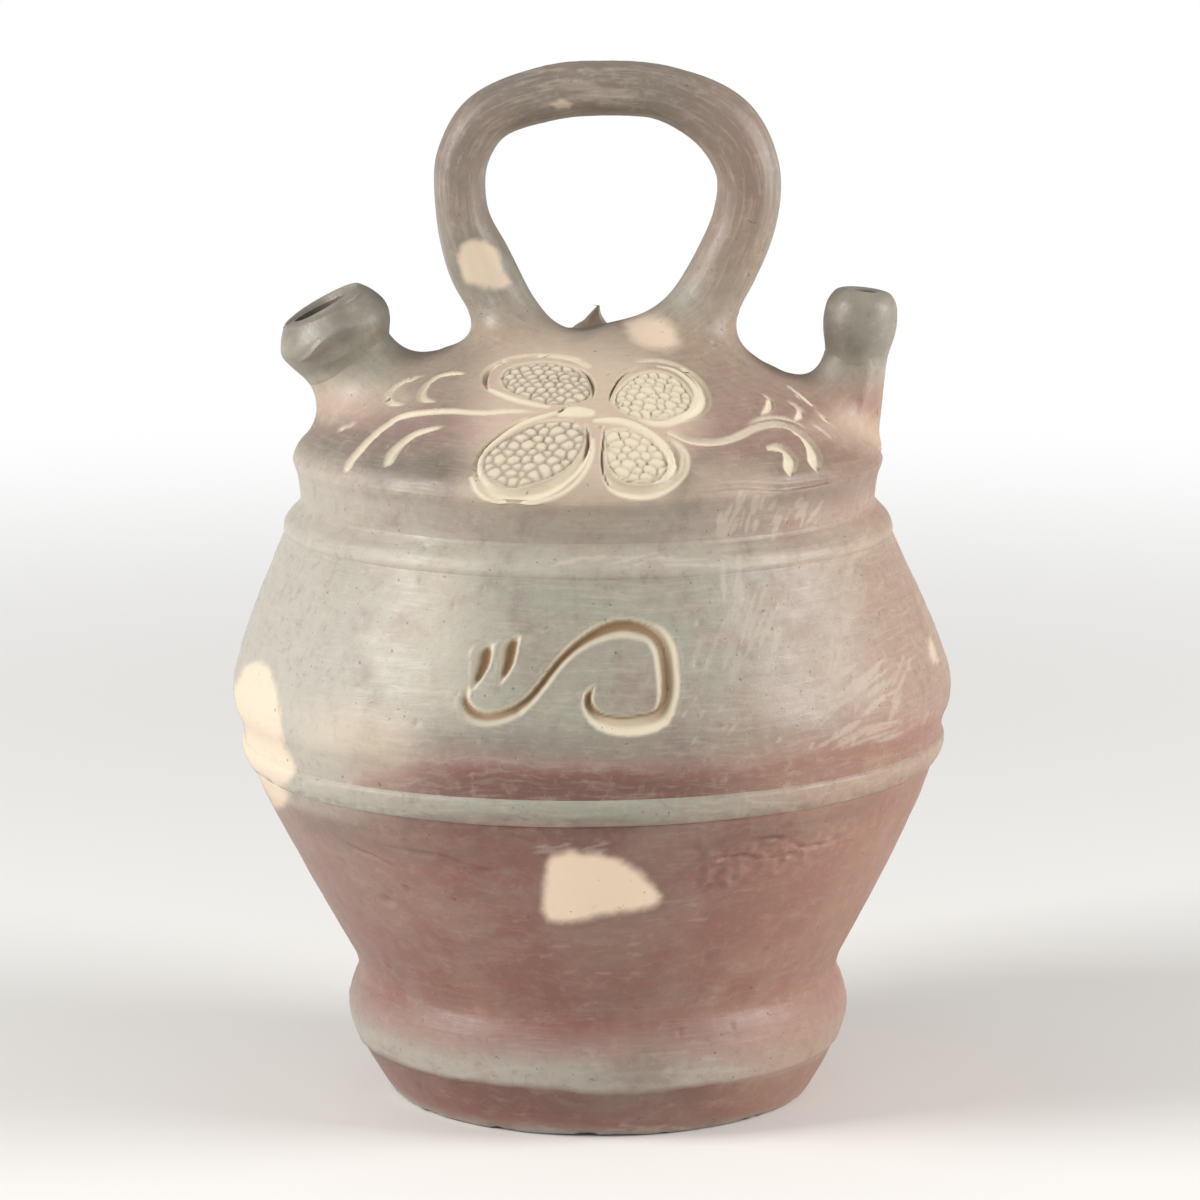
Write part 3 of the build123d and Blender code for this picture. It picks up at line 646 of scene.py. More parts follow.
# Outlines of the four fields of pebbles, and how far apart the pebbles of each lie
pebble_fields = (
    (((501, 378), (505, 371), (514, 366), (528, 363), (545, 362), (562, 364), (577, 369),
      (588, 379), (591, 389), (587, 398), (574, 403), (552, 404), (535, 400), (519, 394),
      (506, 387)), 2.6),
    (((483, 466), (485, 456), (494, 447), (507, 437), (522, 429), (537, 423), (553, 421),
      (570, 421), (582, 425), (585, 434), (583, 445), (577, 456), (566, 468), (551, 476),
      (535, 482), (521, 486), (508, 487), (495, 480), (486, 475)), 3.1),
    (((606, 434), (614, 430), (627, 430), (640, 434), (652, 441), (662, 451), (668, 462),
      (667, 471), (659, 477), (646, 479), (633, 479), (621, 476), (612, 469), (607, 459),
      (605, 446)), 3.0),
    (((614, 403), (617, 393), (626, 383), (636, 376), (648, 372), (660, 372), (672, 376),
      (683, 384), (690, 394), (691, 403), (686, 411), (675, 415), (661, 418), (646, 419),
      (633, 416), (621, 410)), 2.8),
)


# Patches that the smoking didn't reach, and one painted highlight: outline, width of the soft edge,
# strength and dark halo
pale_patches = (
    (((240, 676), (243, 668), (250, 662), (259, 661), (267, 666), (272, 676), (276, 690),
      (279, 707), (282, 722), (283, 736), (286, 748), (293, 760), (296, 767), (293, 775),
      (287, 782), (285, 788), (288, 795), (287, 803), (282, 808), (274, 808), (262, 797),
      (240, 770), (225, 740), (226, 715), (230, 695)), 4, 0.62, 0.0),
    (((300, 715), (345, 700), (410, 712), (424, 742), (400, 772), (340, 768),
      (305, 748)), 30, 0.26, 0.0),
    (((690, 462), (770, 462), (770, 494), (690, 494)), 12, 0.2, 0.0),
    (((548, 862), (553, 856), (566, 852), (596, 855), (622, 861), (645, 877), (661, 896),
      (656, 904), (632, 910), (606, 914), (572, 922), (549, 920), (542, 908),
      (545, 880)), 6, 0.97, 0.2),
    (((461, 245), (470, 240), (486, 241), (496, 248), (503, 270), (510, 283), (503, 289),
      (482, 288), (465, 282), (458, 262)), 4, 0.7, 0.2),
    (((624, 322), (640, 315), (662, 317), (675, 328), (679, 344), (666, 351), (645, 348),
      (630, 340)), 8, 0.65, 0.0),
    (((928, 638), (934, 642), (938, 663), (931, 658)), 2, 0.5, 0.0),
    (((551, 104), (560, 101), (573, 103), (569, 107), (556, 108)), 2, 0.4, 0.0),
    (((500, 350), (560, 335), (640, 352), (700, 420), (660, 500), (560, 505), (470, 490),
      (470, 440), (480, 380)), 30, 0.42, 0.0),
    (((300, 395), (330, 380), (395, 385), (420, 400), (370, 420), (330, 425)), 16, 0.25, 0.0),
    (((800, 430), (840, 405), (880, 420), (900, 450), (870, 452), (840, 440)), 14, 0.3, 0.0),
    # Painted highlight: the sheen of the left lamp on the upper body
    (((395, 560), (470, 560), (480, 640), (470, 720), (400, 720), (380, 640)), 40, 0.16, 0.0),
)
# Darker blotches, from smoking and, for the first two, painted shade: outline, width of the soft edge and
# strength
dark_and_shaded_patches = (
    # Painted shade: under the spout's bulb, and on the mouth's shaded right side
    (((828, 318), (846, 326), (862, 344), (862, 364), (838, 368), (822, 352), (818, 330)), 9, 0.34),
    (((338, 296), (350, 306), (356, 330), (350, 346), (334, 338), (330, 314)), 7, 0.3),
    (((283, 326), (300, 306), (316, 300), (310, 316), (292, 334)), 5, 0.3),
    (((640, 500), (672, 496), (704, 500), (700, 514), (664, 518), (640, 512)), 8, 0.28),
    (((300, 815), (420, 846), (520, 850), (520, 866), (420, 862), (300, 832)), 8, 0.22),
    (((700, 840), (820, 812), (880, 790), (870, 812), (800, 838), (700, 860)), 8, 0.24),
    (((478, 1090), (560, 1096), (700, 1092), (700, 1110), (560, 1116), (478, 1108)), 9, 0.2),
    (((561, 339), (572, 332), (590, 328), (600, 330), (588, 338), (572, 343)), 3, 0.32),
    (((772, 482), (880, 452), (884, 480), (850, 504), (772, 508)), 10, 0.32),
    (((370, 464), (450, 462), (455, 494), (370, 494)), 12, 0.34),
    (((520, 506), (660, 506), (660, 516), (520, 516)), 6, 0.26),
)
# Regions of pale streaks where the burnish flaked: middle of the region, half size, number,
# direction off level in degrees, length and width in pixels, strength
streak_regions = (
    ((732, 597), (10, 16), 7, 84, 46, 5, 0.5),
    ((760, 622), (16, 24), 9, 76, 54, 5, 0.5),
    ((775, 650), (4, 14), 2, 86, 70, 4, 0.55),
    ((788, 600), (4, 10), 3, 80, 40, 4, 0.4),
    ((712, 645), (24, 26), 10, 70, 50, 7, 0.25),
    ((830, 662), (6, 14), 3, 72, 46, 5, 0.45),
    ((858, 692), (26, 22), 11, 38, 52, 6, 0.5),
    ((862, 731), (28, 11), 9, 22, 56, 5, 0.45),
    ((898, 680), (9, 28), 5, 62, 44, 5, 0.35),
    ((845, 575), (14, 36), 5, 66, 70, 10, 0.22),
    ((738, 512), (26, 16), 14, 70, 26, 6, 0.45),
    ((795, 516), (26, 14), 12, 62, 26, 5, 0.45),
    ((700, 561), (130, 5), 12, 6, 60, 3, 0.45),
    ((770, 705), (90, 40), 26, 55, 12, 3, 0.35),
    ((575, 86), (60, 16), 16, 6, 60, 4, 0.3),
    ((640, 1062), (160, 12), 14, 0, 60, 3, 0.2),
    ((590, 1131), (190, 4), 20, 0, 40, 3, 0.4),
    ((620, 960), (110, 60), 16, 4, 26, 2.5, 0.25),
    ((560, 850), (40, 4), 8, 4, 30, 3, 0.4),
    ((380, 700), (80, 60), 14, 2, 50, 3, 0.18),
)


class Stroke:
    """One pull of the tool: its line on the clay, the reach to each side and the depth."""

    def __init__(self, rows, surface, count=60):
        table = curve_through(rows, count)
        self.line = first_meeting(table[:, :2], surface)
        self.left, self.right, self.depth = (np.maximum(table[:, k], 0.05) * MM for k in (2, 3, 4))
        self.along = np.gradient(self.line, axis=0)
        self.along /= np.linalg.norm(self.along, axis=1)[:, None]

    def lateral(self, places, normals):
        """For the vertices near the stroke: which they are, how far across, and where along."""
        reach = max(self.left.max(), self.right.max()) * 1.9
        low, high = self.line.min(0) - reach, self.line.max(0) + reach
        near = np.flatnonzero(((places > low) & (places < high)).all(1))
        if not len(near):
            return near, None, None
        here = places[near]
        start, step = self.line[:-1], np.diff(self.line, axis=0)
        offset = here[:, None, :] - start[None]
        share = np.clip((offset * step).sum(2) / (step * step).sum(1), 0, 1)
        apart = offset - share[..., None] * step[None]
        distance = np.linalg.norm(apart, axis=2)
        nearest = np.argmin(distance, axis=1)
        rows = np.arange(len(near))
        apart, share = apart[rows, nearest], share[rows, nearest]
        side = np.cross(self.along[nearest], normals[near])
        across = np.where((side * apart).sum(1) > 0, 1, -1) * distance[rows, nearest]
        return near, across, nearest + share

    def section(self, across, where):
        """Share of the way out to the edge, the full depth, and the distance past the edge."""
        index = np.arange(len(self.depth))
        tables = (self.left, self.right, self.depth)
        left, right, depth = (np.interp(where, index, values) for values in tables)
        reach = np.where(across > 0, right, left)
        return np.abs(across) / reach, depth, np.abs(across) - reach


@lru_cache(maxsize=None)
def laid_stroke(rows, surface):
    """A stroke on its surface, worked out once for all the pieces that it crosses."""
    return Stroke(rows, surface)


def carve(places, normals, surface, strokes, sharp, burr, steep_on_right=False):
    """Depth of the strokes at each vertex, with how bare and how pale it leaves the clay, and painted shade
    on its steep wall.
    """
    height = np.zeros(len(places))
    marks = np.zeros((len(places), 3))
    for rows in strokes:
        stroke = laid_stroke(rows, surface)
        near, across, where = stroke.lateral(places, normals)
        if not len(near):
            continue
        share, depth, past_edge = stroke.section(across, where)
        inside = np.clip(1 - share, 0, 1) ** sharp
        inside = inside * inside * (3 - 2 * inside) * 0.5 + inside * 0.5
        pushed = burr * depth * np.exp(-(((share - 1.12) / 0.22) ** 2))
        height[near] += pushed - depth * inside
        steep = smooth_step(-0.3 * MM, 0.3 * MM, across if steep_on_right else -across)
        bare = smooth_step(0.8, 1.5, depth / MM) * smooth_step(0.35, 0.75, inside) * (0.5 + 0.5 * steep)
        pale = smooth_step(0.5 * MM, -0.5 * MM, past_edge) * smooth_step(0.1, 0.5, depth / MM)
        # Painted shade on the steep wall, which is also left less pale
        shaded = steep * smooth_step(0.1, 0.6, inside) * smooth_step(0.7, 1.2, depth / MM)
        marks[near] = np.maximum(marks[near], np.stack([bare, pale * (1 - 0.4 * steep), shaded], -1))
    return height, marks


def raise_lips(places, normals, surface, strokes):
    """Height of the raised lips at each vertex, and how pale they are."""
    height = np.zeros(len(places))
    pale = np.zeros(len(places))
    for rows in strokes:
        stroke = laid_stroke(rows, surface)
        near, across, where = stroke.lateral(places, normals)
        if not len(near):
            continue
        share, tall, past_edge = stroke.section(across, where)
        bump = np.exp(-((share * 1.15) ** 2) ** 1.3)
        height[near] = np.maximum(height[near], tall * bump)
        pale[near] = np.maximum(pale[near], smooth_step(0.6 * MM, -0.4 * MM, past_edge))
    return height, pale


def outline_distance(points, outline):
    """Distance inside a closed flat outline, below zero outside it."""
    start, end = outline, np.roll(outline, -1, axis=0)
    step = end - start
    offset = points[:, None, :] - start[None]
    share = np.clip((offset * step).sum(2) / (step * step).sum(1), 0, 1)
    distance = np.linalg.norm(offset - share[..., None] * step[None], axis=2).min(1)
    above_start = points[:, None, 1] >= start[None, :, 1]
    above_end = points[:, None, 1] >= end[None, :, 1]
    turn = step[None, :, 0] * offset[..., 1] - step[None, :, 1] * offset[..., 0]
    winding = (above_start & ~above_end & (turn < 0)) ^ (~above_start & above_end & (turn > 0))
    return np.where(winding.sum(1) % 2 == 1, distance, -distance)


def pebbles(places, outline_pixels, spacing, seed):
    """Relief of one field of pebbles: its sunken floor and a rounded pebble in each cell."""
    height = np.zeros(len(places))
    crease = np.zeros(len(places))
    inside_share = np.zeros(len(places))
    spacing = spacing * MM
    closed = list(outline_pixels) + [outline_pixels[0]]
    rim = first_meeting(curve_through(closed, 70)[:-1], dome_distance)
    middle = rim.mean(0)
    out = middle - np.array((lean(crown_height), 0, dome_centre))
    out /= np.linalg.norm(out)
    across = np.cross((0, 0, 1), out)
    across /= np.linalg.norm(across)
    axes = np.stack([across, np.cross(out, across)])
    outline = (rim - middle) @ axes.T
    offset = places - middle
    reach = np.abs(outline).max() + 2 * MM
    near = np.flatnonzero((np.abs(offset @ out) < 4 * MM) & (np.linalg.norm(offset, axis=1) < reach))
    flat = offset[near] @ axes.T
    depth_in = outline_distance(flat, outline)
    random = np.random.default_rng(seed)
    count = int(reach / spacing) + 2
    rows, columns = np.mgrid[-count:count + 1, -count:count + 1]
    seeds = np.stack([(columns + 0.5 * (rows % 2)).ravel() * 1.15, rows.ravel() * 0.84], -1) * spacing
    seeds += random.uniform(-0.24, 0.24, seeds.shape) * spacing
    sizes = random.uniform(-0.16, 0.16, len(seeds)) * spacing
    seeds_kept = outline_distance(seeds, outline) > 0.15 * spacing
    seeds, sizes = seeds[seeds_kept], sizes[seeds_kept]
    apart = np.linalg.norm(flat[:, None, :] - seeds[None], axis=2) - sizes[None]
    apart.sort(axis=1)
    border = (apart[:, 1] - apart[:, 0]) / 2
    border = np.minimum(border, depth_in - 0.2 * MM)
    flank = 1 - np.clip(border / (0.42 * spacing), 0, 1)
    ball = np.clip(apart[:, 0] / (0.68 * spacing), 0, 1)
    round_top = 0.55 * np.sqrt(1 - flank**2) + 0.45 * np.sqrt(1 - ball**2)
    field = smooth_step(-0.35 * MM, 0.35 * MM, depth_in)
    height[near] = field * (-1.1 * MM + 1.2 * MM * round_top)
    # Painted shade in the creases between the pebbles
    crease[near] = field * smooth_step(0.85 * MM, 0.0, border)
    inside_share[near] = smooth_step(-1.2 * MM, 0.2 * MM, depth_in)
    return height, crease, inside_share


def carve_stems(places, normals):
    """The stems and leaves beside the flower, and the finger marks, on the dome and its joints."""
    height, marks = carve(places, normals, smoothed_surface, stems, 0.45, 0.2)
    shallow, _ = carve(places, normals, smoothed_surface, finger_marks, 0.9, 0.25)
    facet, _ = raise_lips(places, normals, smoothed_surface, neck_facets)
    return 0.8 * height + shallow + facet, marks * (0.2, 1.0, 0.35)


def carve_dome(places, normals):
    """All the carving on the dome: relief, and marks for bare clay, pale clay and painted shade."""
    height, marks = carve_stems(places, normals)
    wide, wide_marks = carve(places, normals, dome_distance, channels, 0.6, 0.1)
    deep, deep_marks = carve(places, normals, dome_distance, cuts, 0.8, 0.05)
    raised, raised_pale = raise_lips(places, normals, dome_distance, lips)
    wide_marks = wide_marks * (0, 1, 0)
    marks = np.maximum(np.maximum(marks, wide_marks), deep_marks)
    marks[:, 1] = np.maximum(marks[:, 1], raised_pale)
    height = height + wide + deep + raised
    for seed, (outline, spacing) in enumerate(pebble_fields):
        relief, crease, inside = pebbles(places, outline, spacing, 40 + seed)
        height += relief
        # Painted shade in the pebbles' creases, stronger on the two left fields
        marks[:, 2] = np.maximum(marks[:, 2], crease * (0.8 if seed < 2 else 0.35))
        marks[:, 1] = np.maximum(marks[:, 1], inside * (0.75 if seed < 2 else 0.9))
    return height, marks


def carve_belly(places, normals):
    """The scroll and the two commas on the upper body."""
    height, marks = carve(places, normals, belly_distance, (scroll, *belly_commas), 0.85, 0.12, True)
    return height, np.minimum(marks * (1.5, 0.85, 0.25), 1)


def hand_worked(places, lines_share):
    """Slow lumps everywhere, and the thrower's lines where the clay was turned."""
    height = 0.20 * MM * noise(places, 21 * MM, 3) + 0.07 * MM * noise(places, 7 * MM, 4)
    radius = np.hypot(places[:, 0] - lean(places[:, 2]), places[:, 1])
    run = places[:, 2] - radius
    slow = np.stack([places[:, 0], places[:, 1], run * 8], -1)
    thrown = 0.12 * MM * lines(run, 4.3 * MM, 5) + 0.07 * MM * noise(slow, 14 * MM, 6)
    thrown += 0.04 * MM * lines(run, 1.7 * MM, 7) * (1 + noise(slow, 30 * MM, 8))
    return height + lines_share * thrown


def pits(places, count, seed):
    """Small hollows and crumbs that the clay's grit left, the same wherever pieces meet."""
    random = np.random.default_rng(seed)
    turn = random.uniform(0, TURN, count)
    level = random.uniform(4 * MM, crown_height, count)
    radius = body_radius(level)
    top = level > brow_bottom
    radius[top] = random.uniform(10 * MM, 78 * MM, top.sum())
    level[top] = dome_height(radius[top])
    middles = np.stack([radius * np.cos(turn) + lean(level), radius * np.sin(turn), level], -1)
    sizes = random.uniform(0.35, 1.1, count) * MM
    signs = np.where(random.uniform(0, 1, count) < 0.78, -0.45, 0.3)
    height = np.zeros(len(places))
    for middle, size, sign in zip(middles, sizes, signs):
        apart = ((places - middle) ** 2).sum(1)
        near = apart < (3 * size) ** 2
        height[near] += sign * size * np.exp(-apart[near] / size**2)
    return height


def along_streaks(pixels, places, region, seed):
    """Strength of one region's streaks at each pixel."""
    middle, half_size, count, direction, length, width, strength = region
    share = np.zeros(len(pixels))
    offset = (pixels - np.array(middle)) / (np.array(half_size) + length)
    near = np.flatnonzero((np.abs(offset) < 1).all(1))
    here = pixels[near]
    random = np.random.default_rng(seed)
    starts = np.array(middle) + random.uniform(-1, 1, (count, 2)) * half_size
    angles = np.radians(-direction + random.uniform(-12, 12, count))
    lengths = length * random.uniform(0.4, 1.2, count)
    widths = width * random.uniform(0.5, 1.3, count)
    ragged = 1.4 * noise(places[near], 1.5 * MM, 60 + seed)
    for start, angle, long, wide in zip(starts, angles, lengths, widths):
        step = here - start
        along = step @ (math.cos(angle), math.sin(angle))
        across = np.abs(step @ (-math.sin(angle), math.cos(angle)))
        end = np.clip(1 - (2 * along / long) ** 2, 0, 1)
        inside = end**0.6 * wide / 2 - across + ragged
        strong = strength * smooth_step(-0.8, 1.0, inside) * smooth_step(0, 0.1, end)
        share[near] = np.maximum(share[near], strong)
    return share


def near_outline(pixels, outline, margin):
    """An outline as an array, and which pixels lie within a margin of its box."""
    outline = np.array(outline, float)
    low, high = outline.min(0) - margin, outline.max(0) + margin
    return outline, np.flatnonzero(((pixels > low) & (pixels < high)).all(1))


def smoke_and_painted_light_marks(places, normals):
    """Shares of bare clay patches, pale streaks and dark blotches that show on the front; one patch is a
    painted highlight and two blotches are painted shade.
    """
    pixels = photo_pixels(places)
    view = places - np.array((camera_aside, -camera_back, camera_height))
    view /= np.linalg.norm(view, axis=1)[:, None]
    seen = smooth_step(-0.02, 0.12, -(normals * view).sum(1))
    marks = np.zeros((len(places), 3))
    ragged = 1.5 * noise(places, 2.6 * MM, 50) + 1.1 * noise(places, 1.0 * MM, 51)
    for outline, soft, strength, halo in pale_patches:
        outline, near = near_outline(pixels, outline, 2 * soft + 16)
        if len(near):
            inside = outline_distance(pixels[near], outline) + ragged[near]
            marks[near, 0] = np.maximum(marks[near, 0], strength * smooth_step(-soft, soft, inside))
            marks[near, 2] = np.maximum(marks[near, 2], halo * smooth_step(-14, -2, inside))
    # Dark blotches, the first two of them painted shade
    for outline, soft, strength in dark_and_shaded_patches:
        outline, near = near_outline(pixels, outline, 2 * soft)
        if len(near):
            inside = outline_distance(pixels[near], outline) + ragged[near]
            marks[near, 2] = np.maximum(marks[near, 2], strength * smooth_step(-soft, soft, inside))
    for seed, region in enumerate(streak_regions):
        marks[:, 1] = np.maximum(marks[:, 1], along_streaks(pixels, places, region, seed))
    return marks * seen[:, None]


def link_mesh(bm, name):
    """Turns a finished bmesh into a smooth-shaded object at the origin."""
    mesh = bpy.data.meshes.new(name)
    bm.to_mesh(mesh)
    bm.free()
    mesh.polygons.foreach_set("use_smooth", [True] * len(mesh.polygons))
    mesh.set_sharp_from_angle(angle=corner_angle)
    piece = bpy.data.objects.new(name, mesh)
    bpy.context.scene.collection.objects.link(piece)
    return piece


def vertex_data(piece):
    """Places and normals of a piece's vertices."""
    count = len(piece.data.vertices)
    places, normals = np.zeros(count * 3), np.zeros(count * 3)
    piece.data.vertices.foreach_get("co", places)
    piece.data.vertex_normals.foreach_get("vector", normals)
    return places.reshape(-1, 3), normals.reshape(-1, 3)


def place_vertices(piece, places):
    """Moves a piece's vertices to their new places."""
    piece.data.vertices.foreach_set("co", places.ravel())
    piece.data.update()


def sector(outline, closed, start, angle, steps):
    """Part of a turned solid: one eighth is spun, then doubled three times."""
    bm = bmesh.new()
    direction = np.array((math.cos(start), math.sin(start)))
    chain = [bm.verts.new((*(direction * radius), height)) for radius, height in outline]
    follow = chain[1:] + (chain[:1] if closed else [])
    edges = [bm.edges.new(pair) for pair in zip(chain, follow)]
    eighth = angle / 8
    bmesh.ops.spin(bm, geom=chain + edges, cent=(0, 0, 0), axis=(0, 0, 1), angle=eighth, steps=steps // 8)
    for doubling in range(3):
        made = bmesh.ops.duplicate(bm, geom=bm.verts[:] + bm.edges[:] + bm.faces[:])
        copies = [part for part in made["geom"] if isinstance(part, bmesh.types.BMVert)]
        turn = Matrix.Rotation(eighth * 2**doubling, 3, "Z")
        bmesh.ops.rotate(bm, cent=(0, 0, 0), matrix=turn, verts=copies)
    return bm


def turned(outline, closed, fine_half_turn, fine_steps, coarse_steps):
    """Solid turned round the Z axis from an outline, with finer steps round the front."""
    whole = bmesh.new()
    start = -math.pi / 2 - fine_half_turn
    fine_turn = 2 * fine_half_turn
    front = (start, fine_turn, fine_steps)
    back = (start + fine_turn, TURN - fine_turn, coarse_steps)
    for first, angle, steps in (front, back):
        part = bpy.data.meshes.new("sector")
        bm = sector(outline, closed, first, angle, steps)
        bm.to_mesh(part)
        bm.free()
        whole.from_mesh(part)
        bpy.data.meshes.remove(part)
    bmesh.ops.remove_doubles(whole, verts=whole.verts, dist=0.01 * MM)
    bmesh.ops.recalc_face_normals(whole, faces=whole.faces)
    return whole


def tube_grid(around, along, closed):
    """Tube or ring of faces, with each vertex's share of the way round and of the way along."""
    bm = bmesh.new()
    shares = [step / along for step in range(along + (0 if closed else 1))]
    if closed:
        chain = [bm.verts.new((2 + math.cos(TURN * s), 0, math.sin(TURN * s))) for s in shares]
    else:
        chain = [bm.verts.new((1, 0, s)) for s in shares]
    follow = chain[1:] + (chain[:1] if closed else [])
    edges = [bm.edges.new(pair) for pair in zip(chain, follow)]
    bmesh.ops.spin(
        bm, geom=chain + edges, cent=(0, 0, 0), axis=(0, 0, 1), angle=TURN, steps=around, use_merge=True
    )
    places = np.array([v.co for v in bm.verts])
    round_share = np.arctan2(places[:, 1], places[:, 0]) / TURN % 1
    if closed:
        along_share = np.arctan2(places[:, 2], np.hypot(places[:, 0], places[:, 1]) - 2) / TURN % 1
    else:
        along_share = places[:, 2]
    return bm, round_share, along_share


def set_places(bm, places):
    """Puts the vertices of a grid at their places, joins its poles and turns its faces out."""
    for vertex, place in zip(bm.verts, places):
        vertex.co = place
    bmesh.ops.remove_doubles(bm, verts=bm.verts, dist=0.01 * MM)
    bmesh.ops.recalc_face_normals(bm, faces=bm.faces)
    return bm


def lean_over(places):
    """Leans thrown places as the body leans, and tips its seam."""
    moved = places.copy()
    moved[:, 0] += lean(places[:, 2])
    near_seam = np.exp(-(((places[:, 2] - seam_height) / seam_slope_reach) ** 2))
    moved[:, 2] += seam_slope * places[:, 0] * near_seam
    return moved


def mark_clay(piece, name, marks):
    """Keeps three shares on each vertex of a piece, for its material."""
    colours = np.concatenate([marks, np.ones((len(marks), 1))], 1).astype(np.float32)
    attribute = piece.data.attributes.new(name, "FLOAT_COLOR", "POINT")
    attribute.data.foreach_set("color", colours.ravel())


def calm(places):
    """Share of the thrower's lines left at each place: none where fingers smoothed the luted clay."""
    return smooth_step(4 * MM, 18 * MM, luted(places))


crown_foot = 195 * MM         # the dent stays above this height


def dented(places):
    """Presses the crown down between the handle's legs, by the same amount on every piece there."""
    depth = crown_dent * np.exp(-(((places[:, :2] - dent_middle) / dent_reach) ** 2).sum(1))
    on_crown = smooth_step(12 * MM, 3 * MM, dome_distance(places)) * (places[:, 2] > crown_foot)
    moved = places.copy()
    moved[:, 2] -= depth * on_crown
    return moved


# Painted shade inside the two channels: tip, lean, radius and strength
shaded_channels = ((mouth_tip, mouth_lean, 10.0 * MM, 0.4), (spout_tip, spout_lean, 3.2 * MM, 1))
base_clearance = 0.02 * MM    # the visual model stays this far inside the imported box
top_clearance = 0.05 * MM
handle_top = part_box("handle")[1].z
grit_count = 260              # hollows and crumbs of grit on the whole jug
grit_seed = 11


def finish_by_hand(piece, relief=None):
    """Lumps, thrower's lines and grit on a piece, with its own relief if it has any."""
    places, normals = vertex_data(piece)
    height = hand_worked(places, calm(places)) + pits(places, grit_count, grit_seed)
    if relief:
        height = height + relief(places, normals)
    marks = smoke_and_painted_light_marks(places, normals)
    # Painted shade inside the mouth's and the spout's channels
    for tip, leaning, radius, dark in shaded_channels:
        inner = dark * smooth_step(0.6 * MM, -0.6 * MM, rod_distance(places, tip, leaning, radius))
        marks[:, 2] = np.maximum(marks[:, 2], inner)
    mark_clay(piece, "smoke_and_painted_light", marks)
    places = dented(places + normals * height[:, None])
    places[:, 2] = np.clip(places[:, 2], base_clearance, handle_top - top_clearance)
    place_vertices(piece, places)
    return piece


def carving_relief(piece, carving):
    """Relief of a carving, which also leaves its marks on the piece."""

    def relief(places, normals):
        depth, marks = carving(places, normals)
        mark_clay(piece, "carving", marks)
        return depth

    return relief


front_half_turn = 1.15        # radians to each side of the front in which thrown pieces are finer
dome_half_turn = 1.13
inner_spacing = 3 * MM


def thrown_piece(
    name, outline, closed, fine_steps, coarse_steps,
    relief=None, carving=None, drawn=False, fine=front_half_turn,
):
    """One thrown piece: turned, leaned, carved and worked by hand."""
    piece = link_mesh(turned(outline, closed, fine, fine_steps, coarse_steps), name)
    places = lean_over(vertex_data(piece)[0])
    if drawn:
        places = draw_in(places, joints)
    place_vertices(piece, places)
    return finish_by_hand(piece, carving_relief(piece, carving) if carving else relief)


def flakes(places, normals):
    """Scales of clay that lifted under the cordon, and the worn edge of the base."""
    scales = np.maximum(noise(places * (1, 1, 2.4), 3.6 * MM, 25) - 0.15, 0)
    band = smooth_step(80 * MM, 86 * MM, places[:, 2]) * smooth_step(93 * MM, 91 * MM, places[:, 2])
    patchy = smooth_step(-0.1, 0.4, noise(places, 26 * MM, 26))
    base_edge = smooth_step(3 * MM, 0.3 * MM, places[:, 2])
    worn = base_edge * np.minimum(noise(places, 3.2 * MM, 27) - 0.05, 0)
    cracked, _ = carve(places, normals, belly_distance, body_cracks, 0.9, 0.3)
    torn_inside = outline_distance(photo_pixels(places), np.array(torn_skin, float))
    torn = smooth_step(-12, 20, torn_inside) * (places[:, 1] < 0)
    ridges = np.maximum(noise(places * (1, 1, 2.2), 3.0 * MM, 29), -0.1)
    torn = torn * (ridges + 0.5 * noise(places, 1.7 * MM, 30))
    return 0.55 * MM * scales * band * patchy + 0.7 * MM * worn + 0.85 * MM * torn + cracked


def ragged_edge(places, normals):
    """Broken lower edge of the cordon."""
    level = places[:, 2] - seam_slope * places[:, 0] - cordon_foot
    edge = smooth_step(3.0 * MM, 1.6 * MM, level) * smooth_step(0, 0.8 * MM, level)
    broken = np.minimum(noise(places, 2.6 * MM, 24) + 0.4 * noise(places, 1.1 * MM, 28) - 0.05, 0)
    return 0.6 * MM * edge * broken


def tongued(outer):
    """An outer line with a low tongue at its top, which backs the seam with the next piece."""
    radius, height = outer[-1]
    tongue = np.array(((radius - 0.45 * MM, height + 0.7 * MM), (radius - 1.4 * MM, height + 0.7 * MM)))
    return np.concatenate([outer, tongue])


def make_lower_body():
    underside = even(((0, 0), (52 * MM, 0)), 4 * MM)[:-1]
    edge = rounded(((52, 0, 0), *base_line[1:]), 0.8 * MM)[:-1]
    outer = np.concatenate([underside, edge, tongued(rounded(foot_line, 0.62 * MM))])
    inner = rounded(
        ((88.9, 93.6, 0), (88.9, 101, 0), (86.2, 101, 0), (61, 36, 6), (60.8, 7, 8), (0, 7, 0)),
        inner_spacing,
    )
    return thrown_piece("thrown_lower_body", np.concatenate([outer, inner]), False, 248, 104, flakes)


def make_ring(name, line, spacing, inner_line, fine_steps, coarse_steps, relief=None, carving=None):
    """A closed ring of the thrown body, from its outer line and its inner line."""
    outer = tongued(rounded(line, spacing * MM))
    chain = np.concatenate([outer, rounded(inner_line, inner_spacing)])
    return thrown_piece(name, chain, True, fine_steps, coarse_steps, relief, carving)


# Rings of the thrown body: node, name, outer line and the spacing of its points in millimetres,
# inner line, steps in front and behind, relief, and carving
rings = (
    ("belly_cordon", "belly_cordon_coil", cordon_line, 0.5,
     ((91.8, 101, 0), (91.8, 93.6, 0)), 296, 120, ragged_edge, None),
    ("upper_body", "thrown_upper_body", belly_line, 0.55,
     ((77.3, 157.5, 0), (77.3, 162, 0), (74.8, 162, 0), (74.8, 157.5, 2), (86, 139, 8), (92.3, 123, 5),
      (89.2, 101, 0)), 400, 104, None, carve_belly),
    ("shoulder_cordon", "shoulder_bead", bead_line, 0.45,
     ((76.3, 166, 0), (76.3, 157.5, 0)), 296, 120, None, None),
    ("collar_band", "thrown_collar_band", band_line, 0.5,
     ((73.6, 177, 0), (73.6, 162, 0), (76.3, 162, 0), (76.3, 166, 0)), 360, 112, None, None),
)


